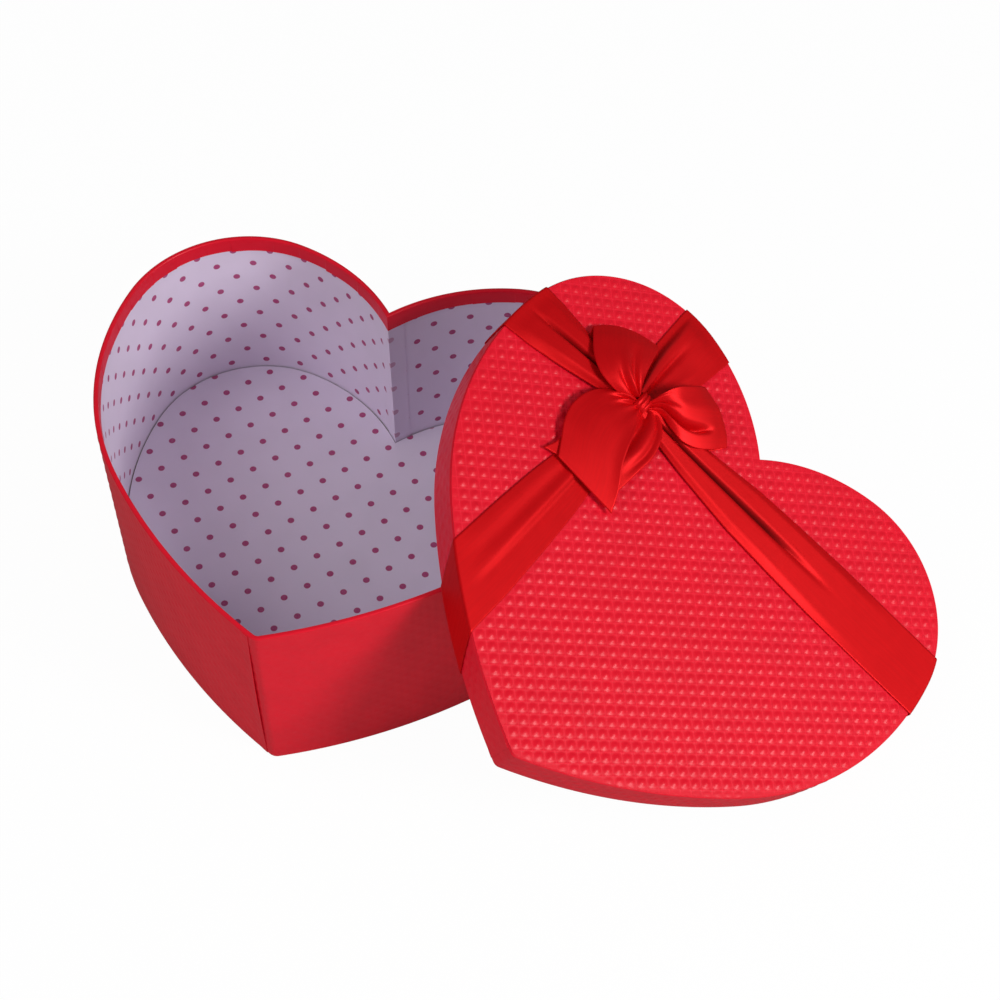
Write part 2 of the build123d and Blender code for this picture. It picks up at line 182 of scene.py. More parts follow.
class RibbonCut(PropertyGroup):
    """The satin ribbon."""

    width: length("Width", "Cut width of the ribbon", 38.0 * mm)
    thickness: length("Thickness", "Of the woven satin", 0.36 * mm)
    knot: numbers("Knot", "Place of the knot on the lid", (-69.0 * mm, 4.53 * mm), unit="LENGTH")
    crossing: numbers("Crossing", "Of the ribbons, from the knot", (0.5 * mm, -3.5 * mm), unit="LENGTH")
    edge_round: length("Edge round", "Radius of the ribbon where it bends over the lid's edge", 1.1 * mm)
    tuck: length("Tuck", "Ribbon turned in under the lid's edge", 10.0 * mm)
    slack: length("Slack", "Between the ribbon and the paper under it", 0.04 * mm)


class Finishes(PropertyGroup):
    """Colours of the papers, boards and ribbon."""

    red: colour("Red paper", "Covering paper", srgb(226, 15, 40))
    # Painted highlight: a lighter red standing for the raised lines where they catch the light
    red_line_highlight: colour("Red line", "Covering paper on its raised lines", srgb(248, 44, 66))
    red_bottom: colour("Bottom paper", "Sheet under the box", srgb(190, 26, 40))
    lilac: colour("Lilac", "Ground of the dotted lining", srgb(226, 214, 234))
    dot: colour("Dot", "Dots of the lining", srgb(168, 24, 100))
    satin: colour("Satin", "Ribbon", srgb(224, 8, 18))
    board: colour("Board", "Grey board", srgb(172, 166, 158))
    kraft: colour("Kraft", "Paper tape", srgb(190, 164, 128))
    dot_radius: length("Dot radius", "Of the lining's dots", 1.95 * mm)
    dot_pitch: length("Dot pitch", "Between neighbouring dots", 14.85 * mm)


class StudioSettings(PropertyGroup):
    """Camera and light."""

    azimuth: angle("Azimuth", "Of the camera about the upright axis, from straight in front", 15.8712)
    elevation: angle("Elevation", "Of the camera above the floor", 53.0301)
    roll: angle("Roll", "Of the camera about its own axis", -0.4126)
    distance: length("Distance", "From the camera to its target", 1.2571893)
    target: numbers("Target", "Middle of the picture", (0.0698152, 0.0057122, -0.0004645), unit="LENGTH")
    lens: share("Lens", "Focal length in millimetres, on a 36 mm sensor", 78.18685)
    sky: share("Sky", "Strength of the even light from all round", 0.24)
    sky_gloss: share("Sky gloss", "Share of that light that gloss does not mirror", 0.45)
    key_power: share("Key power", "Of the key lamp, in watts", 15.5)
    fill_power: share("Fill power", "Of the fill lamp, in watts", 8.0)
    floor_glow: share("Floor glow", "Share of the floor's picture that is plain white", 0.97)


class HeartBoxSettings(PropertyGroup):
    """Everything that the operators read."""

    outline: PointerProperty(type=HeartOutline)
    papers: PointerProperty(type=PaperLayers)
    lid: PointerProperty(type=LidPlace)
    relief: PointerProperty(type=WaffleRelief)
    ribbon: PointerProperty(type=RibbonCut)
    finish: PointerProperty(type=Finishes)
    studio: PointerProperty(type=StudioSettings)
    seed: IntProperty(name="Seed", description="Of everything uneven", default=7)


# Shader and geometry nodes


class Wire:
    """One output socket; arithmetic on it adds Math nodes to its tree."""

    def __init__(self, tree, socket):
        self.tree = tree
        self.socket = socket

    def math(self, operation, *others):
        """A Math node on this value and up to two others."""
        inputs = {index: value for index, value in enumerate((self, *others))}
        return add_node(self.tree, "ShaderNodeMath", {"operation": operation}, inputs)

    def __add__(self, other):
        return self.math("ADD", other)

    def __sub__(self, other):
        return self.math("SUBTRACT", other)

    def __mul__(self, other):
        return self.math("MULTIPLY", other)

    def __truediv__(self, other):
        return self.math("DIVIDE", other)

    def __rsub__(self, other):
        return (self * -1) + other

    __radd__ = __add__
    __rmul__ = __mul__

    def step(self, low, high):
        """0 below low, 1 above high and smooth between them."""
        ends = {"From Min": low, "From Max": high, "Value": self}
        return add_node(self.tree, "ShaderNodeMapRange", {"interpolation_type": "SMOOTHSTEP"}, ends)

    def fade(self, low, high):
        """The other way round: 1 below low and 0 above high."""
        return 1 - self.step(low, high)


def add_node(tree, kind, settings=None, inputs=None, out=0):
    """Adds a node, sets its settings and its inputs' values or links, and returns one of its outputs."""
    node = tree.nodes.new(kind)
    for name, value in (settings or {}).items():
        setattr(node, name, value)
    for key, value in (inputs or {}).items():
        if isinstance(value, Wire):
            tree.links.new(value.socket, node.inputs[key])
        else:
            node.inputs[key].default_value = value
    return Wire(tree, node.outputs[out])


def new_material(name):
    """An empty material, its tree and its output node."""
    material = bpy.data.materials.new(name)
    material.use_nodes = True
    tree = material.node_tree
    tree.nodes.clear()
    return material, tree, tree.nodes.new("ShaderNodeOutputMaterial")


def part(tree, vector, index):
    """One of a vector's three numbers."""
    return add_node(tree, "ShaderNodeSeparateXYZ", {}, {0: vector}, out=index)


def shaded(colour_value, factor):
    """A colour made lighter or darker."""
    return tuple(min(1.0, factor * channel) for channel in colour_value)


def mix_colours(tree, factor, low, high):
    """Colour between two, which are fixed or linked."""
    pair = [value if isinstance(value, Wire) else (*value, 1.0) for value in (low, high)]
    return add_node(tree, "ShaderNodeMix", {"data_type": "RGBA"}, {0: factor, 6: pair[0], 7: pair[1]}, out=2)


def object_place(tree):
    """Coordinates in the object's own frame, in metres."""
    return add_node(tree, "ShaderNodeTexCoord", out="Object")


def noise(tree, place, scale, detail=2.0, rough=0.5):
    """Even noise about a half, with features of about 1 / scale metres."""
    inputs = {"Vector": place, "Scale": scale, "Detail": detail, "Roughness": rough}
    return add_node(tree, "ShaderNodeTexNoise", {}, inputs)


def bump(tree, height, distance, strength=1.0):
    """Normal of a fine relief that is distance deep."""
    inputs = {"Height": height, "Distance": distance, "Strength": strength}
    return add_node(tree, "ShaderNodeBump", {}, inputs)


def shader(tree, output, base, roughness, normal=None, **fixed):
    """The surface's shader: base, roughness and normal may vary, and the rest is fixed on its own sockets."""
    node = tree.nodes.new("ShaderNodeBsdfPrincipled")
    for key, value in (("Base Color", base), ("Roughness", roughness), ("Normal", normal)):
        if isinstance(value, Wire):
            tree.links.new(value.socket, node.inputs[key])
        elif value is not None:
            node.inputs[key].default_value = value
    for key, value in fixed.items():
        node.inputs[key.replace("_", " ")].default_value = value
    tree.links.new(node.outputs[0], output.inputs["Surface"])


def red_paper(name, ground, line):
    """Semi-gloss red paper with a fine fibre grain and faint mottling, and a painted highlight that lightens
    its pressed lines.
    """
    material, tree, output = new_material(name)
    place = object_place(tree)
    relief = add_node(tree, "ShaderNodeAttribute", {"attribute_name": "relief"}, out="Fac")
    mottle = noise(tree, place, 55.0, 3.0)
    fibre = noise(tree, place, 2600.0, 3.0, 0.6)
    on_line = relief.step(0.35, 1.0)
    shade = mix_colours(tree, mottle.step(0.3, 0.75) * 0.35, ground, shaded(ground, 0.82))
    # Painted highlight: the paper is lightened towards the line colour on its raised lines, as if they caught
    # the light
    base = mix_colours(tree, on_line * 0.5, shade, line)
    roughness = 0.35 + mottle * 0.10 - on_line * 0.04
    sheen = {"Specular_IOR_Level": 0.36, "Specular_Tint": (1.0, 0.8, 0.82, 1.0)}
    shader(tree, output, base, roughness, bump(tree, fibre, 0.05 * mm, 0.5), **sheen)
    return material


def dotted_paper(name, finish, place_of, turn, start):
    """Matt lilac paper printed with a square lattice of dots; place_of gives flat coordinates in metres."""
    material, tree, output = new_material(name)
    flat = place_of(tree)
    size = 1 / finish.dot_pitch
    turned = add_node(
        tree,
        "ShaderNodeMapping",
        {"vector_type": "POINT"},
        {"Vector": flat, "Location": (*start, 0.0), "Rotation": (0.0, 0.0, turn), "Scale": (size, size, 0.0)},
    )
    cell = add_node(tree, "ShaderNodeVectorMath", {"operation": "FRACTION"}, {0: turned})
    middle = add_node(tree, "ShaderNodeVectorMath", {"operation": "SUBTRACT"}, {0: cell, 1: (0.5, 0.5, 0.0)})
    across, up = part(tree, middle, 0), part(tree, middle, 1)
    distance = (across * across + up * up).math("SQRT") * finish.dot_pitch
    place = object_place(tree)
    fuzz = noise(tree, place, 900.0, 2.0)
    edge = distance + (fuzz - 0.5) * (0.25 * mm)
    blur = 0.12 * mm
    dot = edge.fade(finish.dot_radius - blur, finish.dot_radius + blur)
    fibre = noise(tree, place, 2200.0, 3.0, 0.6)
    cloud = noise(tree, place, 30.0, 2.0)
    ground = mix_colours(tree, cloud.step(0.35, 0.7) * 0.3, finish.lilac, shaded(finish.lilac, 0.88))
    print_strength = 0.9 + (fuzz - 0.5) * 0.2
    doubled = part(tree, flat, 2)
    faint = doubled.step(0.4, 0.6) * 0.45
    base = mix_colours(tree, dot * print_strength * (1 - faint), ground, finish.dot)
    shader(tree, output, base, 0.62 - dot * 0.1, bump(tree, fibre, 0.04 * mm, 0.4), Specular_IOR_Level=0.35)
    return material


def flat_attribute(tree):
    """Flat coordinates stored on a strip of paper or ribbon."""
    return add_node(tree, "ShaderNodeAttribute", {"attribute_name": "flat"}, out="Vector")


def board_material(finish):
    """Grey board: pressed waste paper with light and dark specks."""
    material, tree, output = new_material("grey board")
    place = object_place(tree)
    speck = noise(tree, place, 1500.0, 4.0, 0.7)
    cloud = noise(tree, place, 120.0, 3.0)
    clouded = mix_colours(tree, cloud.step(0.3, 0.7), finish.board, shaded(finish.board, 1.2))
    base = mix_colours(tree, speck.step(0.42, 0.7), clouded, shaded(finish.board, 0.62))
    shader(tree, output, base, 0.8 + cloud * 0.1, bump(tree, speck, 0.06 * mm, 0.6), Specular_IOR_Level=0.2)
    return material


def kraft_material(finish):
    """Brown paper tape with long fibres and a slight gloss of gum."""
    material, tree, output = new_material("kraft tape")
    place = object_place(tree)
    drawn = add_node(tree, "ShaderNodeMapping", {}, {"Vector": place, "Scale": (1.0, 1.0, 0.12)})
    fibre = noise(tree, drawn, 1400.0, 4.0, 0.65)
    cloud = noise(tree, place, 70.0, 2.0)
    base = mix_colours(tree, fibre.step(0.35, 0.7), finish.kraft, shaded(finish.kraft, 0.72))
    grain = bump(tree, fibre, 0.04 * mm, 0.5)
    shader(tree, output, base, 0.55 + cloud * 0.15, grain, Specular_IOR_Level=0.35)
    return material


def satin_material(finish):
    """Red satin: fine threads along the ribbon, a soft sheen, a slightly uneven gloss and painted shade
    darkening it down its sharp creases.
    """
    material, tree, output = new_material("satin ribbon")
    flat = flat_attribute(tree)
    warp_pitch, weft_pitch = 0.32 * mm, 0.5 * mm
    warp = (part(tree, flat, 0) * (2 * math.pi / warp_pitch)).math("SINE")
    weft = (part(tree, flat, 1) * (2 * math.pi / weft_pitch)).math("SINE")
    streak_place = add_node(tree, "ShaderNodeMapping", {}, {"Vector": flat, "Scale": (1.0, 0.06, 1.0)})
    streak = noise(tree, streak_place, 700.0, 3.0, 0.6)
    cloud = noise(tree, object_place(tree), 90.0, 2.0)
    weave = warp * 0.3 + weft * 0.1 + streak * 0.6
    # Painted shade: the stored crease value darkens the satin, and makes it rougher, down in its deep folds
    stored = add_node(tree, "ShaderNodeAttribute", {"attribute_name": "crease"}, out="Vector")
    crease = part(tree, stored, 0)
    uneven = streak.step(0.3, 0.7) * 0.2 + cloud * 0.2
    base = mix_colours(tree, uneven, finish.satin, shaded(finish.satin, 0.7))
    base = mix_colours(tree, crease, base, shaded(finish.satin, 0.16))
    roughness = 0.40 + streak * 0.10 + (1 - cloud) * 0.08 + crease * 0.35
    sheen = {"Metallic": 0.45, "Specular_IOR_Level": 0.5, "Specular_Tint": (1.0, 0.45, 0.42, 1.0)}
    shader(tree, output, base, roughness, bump(tree, weave, 0.04 * mm, 0.35), **sheen)
    return material


def waffle_tree():
    """Geometry nodes that press the waffle into a sheet along its stored push, and note its lines for the
    painted highlight that lightens them.
    """
    tree = bpy.data.node_groups.new("waffle relief", "GeometryNodeTree")
    plain = ("Pitch", "Turn", "Skew", "Start Across", "Start Up", "Pad Rise", "Line Rise", "Line Highlight")
    sockets = {"Sheet": "NodeSocketGeometry", **dict.fromkeys(plain, "NodeSocketFloat")}
    sockets["Paper"] = "NodeSocketMaterial"
    for name, kind in sockets.items():
        tree.interface.new_socket(name, in_out="INPUT", socket_type=kind)
    tree.interface.new_socket("Sheet", in_out="OUTPUT", socket_type="NodeSocketGeometry")
    group = tree.nodes.new("NodeGroupInput")
    given = {name: Wire(tree, group.outputs[name]) for name in sockets}
    vector = {"data_type": "FLOAT_VECTOR"}
    flat, push = (
        add_node(tree, "GeometryNodeInputNamedAttribute", vector, {"Name": name}) for name in ("flat", "push")
    )
    across, up = part(tree, flat, 0), part(tree, flat, 1)
    first, second = given["Turn"] + given["Skew"], given["Turn"] - given["Skew"]
    turned = (
        across * first.math("COSINE") + up * first.math("SINE"),
        up * second.math("COSINE") - across * second.math("SINE"),
    )
    pads, lines, cells = [], [], []
    for along, start in zip(turned, (given["Start Across"], given["Start Up"])):
        counted = along / given["Pitch"] - start
        cells.append(counted.math("FLOOR"))
        from_middle = (counted - cells[-1] - 0.5).math("ABSOLUTE")
        pads.append(from_middle.fade(*PAD_SLOPE))
        lines.append(from_middle.step(*LINE_SLOPE))
    cell = add_node(tree, "ShaderNodeCombineXYZ", {}, {0: cells[0], 1: cells[1]})
    chance = add_node(tree, "ShaderNodeTexWhiteNoise", {"noise_dimensions": "2D"}, {"Vector": cell})
    pad = pads[0] * pads[1] * (PAD_LEAST + chance * PAD_SPREAD)
    line = lines[0].math("MAXIMUM", lines[1])
    height = pad * given["Pad Rise"] + line * given["Line Rise"]
    offset = add_node(tree, "ShaderNodeVectorMath", {"operation": "SCALE"}, {0: push, "Scale": height})
    pressed = add_node(tree, "GeometryNodeSetPosition", {}, {"Geometry": given["Sheet"], "Offset": offset})
    # Stores where the lines are, scaled by the share of painted highlight they get
    noted = add_node(
        tree,
        "GeometryNodeStoreNamedAttribute",
        {"data_type": "FLOAT", "domain": "POINT"},
        {"Geometry": pressed, "Name": "relief", "Value": line * given["Line Highlight"]},
    )
    whole = add_node(tree, "GeometryNodeRealizeInstances", {}, {"Geometry": noted})
    papered = add_node(tree, "GeometryNodeSetMaterial", {}, {"Geometry": whole, "Material": given["Paper"]})
    result = tree.nodes.new("NodeGroupOutput")
    tree.links.new(papered.socket, result.inputs[0])
    return tree


# The heart and the lid's place


def polar(radius, direction):
    """Vector of a length in a direction."""
    return radius * np.array([math.cos(direction), math.sin(direction)])


def unit(vectors):
    """Vectors of length 1 in the same directions."""
    vectors = np.asarray(vectors, float)
    return vectors / np.linalg.norm(vectors, axis=-1, keepdims=True)


def with_height(flat, height):
    """Flat points with a third number."""
    return np.concatenate([flat, np.broadcast_to(height, flat.shape[:-1])[..., None]], -1)


class HeartPath:
    """The heart's outline, moved out from the box's outer face by grow, with its point rounded.

    A place on it is the distance from the notch, down the right half to the point and back up the left half.
    """

    def __init__(self, outline, grow, point_round):
        lobe = np.array([outline.lobe_spread, 0.0])
        shoulder = lobe - polar(outline.shoulder_radius - outline.lobe_radius, outline.shoulder_end)
        side = lobe - polar(outline.side_radius - outline.lobe_radius, outline.lobe_end)
        flank = side - polar(outline.flank_radius - outline.side_radius, outline.side_end)
        self.notch_turn = math.acos(-shoulder[0] / (outline.shoulder_radius + grow))
        sharp_radius = outline.flank_radius + grow - point_round
        point_turn = -math.acos(-flank[0] / sharp_radius)
        tip = np.array([0.0, flank[1] + sharp_radius * math.sin(point_turn)])
        arcs = (
            (shoulder, outline.shoulder_radius + grow, self.notch_turn, outline.shoulder_end),
            (lobe, outline.lobe_radius + grow, outline.shoulder_end, outline.lobe_end),
            (side, outline.side_radius + grow, outline.lobe_end, outline.side_end),
            (flank, outline.flank_radius + grow, outline.side_end, point_turn),
            (tip, point_round, point_turn, -math.pi / 2),
        )
        self.centres = np.array([arc[0] for arc in arcs])
        self.radii = np.array([arc[1] for arc in arcs])
        self.starts = np.array([arc[2] for arc in arcs])
        self.turns = np.array([arc[2] - arc[3] for arc in arcs])
        self.ends = np.concatenate([[0.0], np.cumsum(self.radii * self.turns)])
        self.half = self.ends[-1]
        self.length = 2 * self.half

    def at(self, places):
        """Points, outward normals and forward tangents; on the notch itself the normal is its mitre."""
        places = np.mod(np.asarray(places, float), self.length)
        side = np.where(places <= self.half, 1.0, -1.0)
        along = np.where(side > 0, places, self.length - places)
        arc = np.clip(np.searchsorted(self.ends, along, side="right") - 1, 0, len(self.radii) - 1)
        turn = self.starts[arc] - (along - self.ends[arc]) / self.radii[arc]
        normal = np.stack([np.cos(turn), np.sin(turn)], -1)
        point = self.centres[arc] + self.radii[arc][..., None] * normal
        tangent = np.stack([np.sin(turn), -side * np.cos(turn)], -1)
        point[..., 0] *= side
        normal[..., 0] *= side
        on_notch = np.minimum(along, self.length - along) < 1e-7
        normal[on_notch] = (0.0, 1 / math.sin(self.notch_turn))
        point[on_notch, 0] = 0.0
        return point, normal, tangent

    def columns(self, step):
        """Places round the whole heart, about a step apart, with the notch and the point among them."""
        count = max(2, round(self.half / step))
        half = np.linspace(0.0, self.half, count + 1)
        corner_steps = 9
        corner = np.linspace(self.ends[-2], self.half, corner_steps)
        half = np.unique(np.concatenate([half[half < self.ends[-2] - step / 3], corner]))
        return np.concatenate([half, self.length - half[-2:0:-1]])

    def seen(self, points):
        """Whether points are inside, and the outline's place beside them, seen from below the notch."""
        eye = np.array([0.0, -30 * mm])
        sight_lines = 2400
        places = np.linspace(0.0, self.length, sight_lines, endpoint=False)
        ring = self.at(places)[0] - eye
        bearings = np.arctan2(ring[:, 1], ring[:, 0])
        order = np.argsort(bearings)
        rays = points - eye
        bearing = np.arctan2(rays[:, 1], rays[:, 0])
        values = (np.hypot(ring[:, 0], ring[:, 1]), places)
        around = 2 * math.pi
        reach, place = (np.interp(bearing, bearings[order], value[order], period=around) for value in values)
        return np.hypot(rays[:, 0], rays[:, 1]) < reach, place

    def holds(self, points):
        """Which points are inside the outline."""
        return self.seen(points)[0]

    def place_of(self, points):
        """Places of points that are on the outline."""
        return self.seen(points)[1]


class LidFrame:
    """The lid's own coordinates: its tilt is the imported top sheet's, and the rest is how it leans."""

    def __init__(self, settings):
        lid = settings.lid
        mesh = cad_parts["lid_top_sheet"].data
        upward = Vector()
        for polygon in mesh.polygons:
            if polygon.normal.z > 0.5:
                upward += polygon.normal * polygon.area
        self.z = np.array(upward.normalized())
        level = max(float(np.dot(self.z, vertex.co)) for vertex in mesh.vertices)
        tilt = math.acos(self.z[2])
        slope = np.append(polar(1.0, lid.lean_direction), 0.0)
        downhill = slope * math.cos(tilt) - np.array([0.0, 0.0, math.sin(tilt)])
        self.x = downhill * math.cos(lid.spin) - np.cross(self.z, downhill) * math.sin(lid.spin)
        self.y = np.cross(self.z, self.x)
        path = HeartPath(settings.outline, 0.0, settings.outline.point_round)
        side_arc = 2
        box_side = path.centres[side_arc][0] + path.radii[side_arc]
        spot = polar(box_side + lid.reach, lid.lean_direction)
        spot += polar(lid.shift, lid.lean_direction + math.pi / 2)
        height = (level - spot @ self.z[:2]) / self.z[2]
        self.origin = np.append(spot, height)

    def place(self, points):
        """Points of the lid's own coordinates in the shared frame."""
        points = np.asarray(points, float)
        return self.origin + points[..., :1] * self.x + points[..., 1:2] * self.y + points[..., 2:3] * self.z


# Meshes


def new_piece(name, points, faces, material=None, attributes=None, sharp=35.0):
    """A mesh object at the origin; attributes are vectors at its points."""
    mesh = bpy.data.meshes.new(name)
    mesh.from_pydata(np.asarray(points, float).tolist(), [], faces)
    for key, values in (attributes or {}).items():
        stored = mesh.attributes.new(key, "FLOAT_VECTOR", "POINT")
        stored.data.foreach_set("vector", np.ascontiguousarray(values, np.float32).ravel())
    mesh.update()
    mesh.shade_smooth()
    mesh.set_sharp_from_angle(angle=math.radians(sharp))
    if material:
        mesh.materials.append(material)
    piece = bpy.data.objects.new(name, mesh)
    bpy.context.scene.collection.objects.link(piece)
    return piece


def grid_faces(rows, columns, wrap_rows=False, wrap_columns=False, first=0):
    """Quads of a grid of points, row by row."""
    faces = []
    for row in range(rows if wrap_rows else rows - 1):
        for column in range(columns if wrap_columns else columns - 1):
            below = (row + 1) % rows
            beside = (column + 1) % columns
            corners = ((row, column), (row, beside), (below, beside), (below, column))
            faces.append([first + r * columns + c for r, c in corners])
    return faces


def swept(path, places, sections, place):
    """Closed band round the heart: a section goes round its profile, in inward distances and heights."""
    point, normal, _ = path.at(places)
    sections = np.broadcast_to(sections, (len(places), *np.shape(sections)[-2:]))
    flat = point[:, None, :] - normal[:, None, :] * sections[..., :1]
    points = np.concatenate([flat, sections[..., 1:]], -1)
    faces = grid_faces(len(places), sections.shape[1], wrap_rows=True, wrap_columns=True)
    return place(points.reshape(-1, 3)), faces


def rounded(corner, start, end, radius, steps=5):
    """Points of a quarter round at a square corner, from the side of start to the side of end."""
    corner = np.asarray(corner, float)
    one, two = unit(start - corner), unit(end - corner)
    centre = corner + (one + two) * radius
    turns = np.linspace(0.0, math.pi / 2, steps)
    return [centre - two * radius * math.cos(t) - one * radius * math.sin(t) for t in turns]


def upright(points):
    """Box coordinates are the shared frame's own."""
    return np.asarray(points, float)


def lattice(low, high, pitch, turn, parts, start=(0.0, 0.0), skew=0.0):
    """Points of the waffle's own grid over a rectangle: parts are the places of its lines within one cell."""
    reach = np.abs(np.concatenate([low, high])).max() * 1.5
    count = int(math.ceil(reach / pitch))
    line = (np.arange(-count, count)[:, None] + np.asarray(parts)).ravel()
    one, two = np.meshgrid((line + start[0]) * pitch, (line + start[1]) * pitch)
    first, second = turn + skew, turn - skew
    across = one * math.cos(second) - two * math.sin(first)
    up = one * math.sin(second) + two * math.cos(first)
    points = np.stack([across, up], -1).reshape(-1, 2) / math.cos(2 * skew)
    return points[((points > low) & (points < high)).all(1)]


def lattices(low, high, relief, parts):
    """Fine points that follow the waffle, for a sheet's face, and coarse ones for its back."""
    fine = lattice(low, high, relief.pitch, relief.turn, parts, relief.start, relief.skew)
    return fine, lattice(low, high, relief.pitch, 0.0, (0.0,))


def triangulated(outline, inside, fences, holds):
    """Triangles through an outline and the points inside it; a fence lists point numbers kept as edges."""
    points = np.concatenate([outline, inside]) / mm
    count = len(outline)
    edges = [(index, (index + 1) % count) for index in range(count)]
    for fence in fences:
        edges += list(zip(fence[:-1], fence[1:]))
    found, _, faces, *_ = delaunay_2d_cdt([Vector(p) for p in points], edges, [], 1, 1e-5, False)
    if len(found) != len(points):
        raise RuntimeError("two points of a papered sheet fall together")
    middles = np.concatenate([outline, inside])[np.array(faces)].mean(1)
    return [list(face) for face, held in zip(faces, holds(middles)) if held]


def sheet_solid(outline, fine, coarse, fences, holds):
    """Thin closed sheet over a flat outline: its face is finely divided and its back coarsely.

    Returns the flat points, 1 or 0 for face or back, and the faces. A fence is two numbers of outline points
    and the flat points between them, and holds says which flat points are inside the outline.
    """
    numbered = []
    extra = np.zeros((0, 2))
    for first, last, between in fences:
        start = len(outline) + len(extra)
        extra = np.concatenate([extra, between])
        numbered.append([first, *range(start, start + len(between)), last])
    face_inside = np.concatenate([extra, fine])
    back_inside = np.concatenate([extra, coarse])
    front = triangulated(outline, face_inside, numbered, holds)
    back = triangulated(outline, back_inside, numbered, holds)
    shift = len(outline) + len(face_inside)
    faces = front + [[shift + index for index in reversed(face)] for face in back]
    count = len(outline)
    for index in range(count):
        beside = (index + 1) % count
        faces.append([beside, index, shift + index, shift + beside])
    flat = np.concatenate([outline, face_inside, outline, back_inside])
    on_face = np.concatenate([np.ones(shift), np.zeros(len(outline) + len(back_inside))])
    return flat, on_face, faces


def pressed(piece, tree, relief, height_share, line_highlight, material):
    """Presses the waffle into a piece with geometry nodes and keeps the result as a plain mesh."""
    modifier = piece.modifiers.new("waffle relief", "NODES")
    modifier.node_group = tree
    values = {
        "Pitch": relief.pitch,
        "Turn": relief.turn,
        "Skew": relief.skew,
        "Start Across": relief.start[0],
        "Start Up": relief.start[1],
        "Pad Rise": relief.pad_rise * height_share,
        "Line Rise": relief.line_rise * height_share,
        "Line Highlight": line_highlight,
        "Paper": material,
    }
    for item in tree.interface.items_tree:
        if item.in_out == "INPUT" and item.name in values:
            modifier[item.identifier] = values[item.name]
    depsgraph = bpy.context.evaluated_depsgraph_get()
    mesh = bpy.data.meshes.new_from_object(
        piece.evaluated_get(depsgraph), preserve_all_data_layers=True, depsgraph=depsgraph
    )
    piece.modifiers.clear()
    piece.data = mesh
    for key in ("push", "flat"):
        mesh.attributes.remove(mesh.attributes[key])
    return piece


def everywhere(points):
    """A strip's outline is a rectangle, which holds every point between its corners."""
    return np.ones(len(points), bool)


def wall_strip(settings, path, low, high, parts, curl, place, name):
    """Embossed strip of covering paper round the heart, lapped at a seam beside the point."""
    papers = settings.papers
    relief = settings.relief
    seam = path.half + papers.seam_offset
    total = path.length + papers.seam_lap
    notch = path.length - seam
    step = relief.pitch / len(parts)
    before = np.linspace(0.0, notch, round(notch / step))
    after = np.linspace(notch, total, round((total - notch) / step))
    across = np.concatenate([before, after[1:]])
    up = np.linspace(low, high, max(2, round((high - low) / step)))
    bottom = np.stack([across, np.full_like(across, low)], -1)
    top = np.stack([across, np.full_like(across, high)], -1)[::-1]
    right = np.stack([np.full_like(up, total), up], -1)[1:-1]
    left = np.stack([np.zeros_like(up), up], -1)[-2:0:-1]
    outline = np.concatenate([bottom, right, top, left])
    notch_index = round(notch / step) - 1
    notch_top = len(bottom) + len(right) + (len(across) - 1 - notch_index)
    between = np.stack([np.full_like(up, notch), up], -1)[1:-1]
    corner_low = np.array([0.0, low])
    corner_high = np.array([total, high])

    def clear(points):
        margin = 0.3 * step
        kept = ((points > corner_low + margin) & (points < corner_high - margin)).all(1)
        return points[kept & (np.abs(points[:, 0] - notch) > margin)]

    fine, coarse = (clear(points) for points in lattices(corner_low, corner_high, relief, parts))
    flat, on_face, faces = sheet_solid(outline, fine, coarse, [(notch_index, notch_top, between)], everywhere)
    point, normal, _ = path.at(seam + flat[:, 0])
    on_notch = np.abs(flat[:, 0] - notch) < 1e-9
    point[on_notch], normal[on_notch], _ = path.at(np.zeros(on_notch.sum()))
    free = np.clip(1 - flat[:, 0] / papers.seam_lap, 0.0, 1.0)
    bow = np.sin(math.pi * (flat[:, 1] - low) / (high - low))
    lap_rise = 1.15 * papers.paper
    lift = lap_rise * np.sqrt(free) + curl * bow * free**1.5 - papers.paper * (1 - on_face)
    points = with_height(point + normal * lift[:, None], flat[:, 1])
    edge = np.minimum(flat[:, 1] - low, high - flat[:, 1])
    ends = np.minimum(flat[:, 0], total - flat[:, 0])
    firm = np.clip(np.minimum(edge, ends) / (0.5 * relief.pitch), 0.0, 1.0) * on_face
    push = with_height(normal * firm[:, None], 0.0)
    return relief_piece(name, points, faces, place, flat, push)


def relief_piece(name, points, faces, place, flat, push):
    """A plain sheet with what the relief needs: its flat coordinates and the way each point is pushed."""
    world = place(points)
    attributes = {"flat": with_height(flat, 0.0), "push": place(points + push) - world}
    return new_piece(name, world, faces, attributes=attributes)


def fit(piece, body, slot, *nodes):
    """Lets a piece ride on its body and stand for the solids that it hides; slot is not used."""
    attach(piece, body)
    if nodes:
        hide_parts(*nodes)
    return piece


# Operators


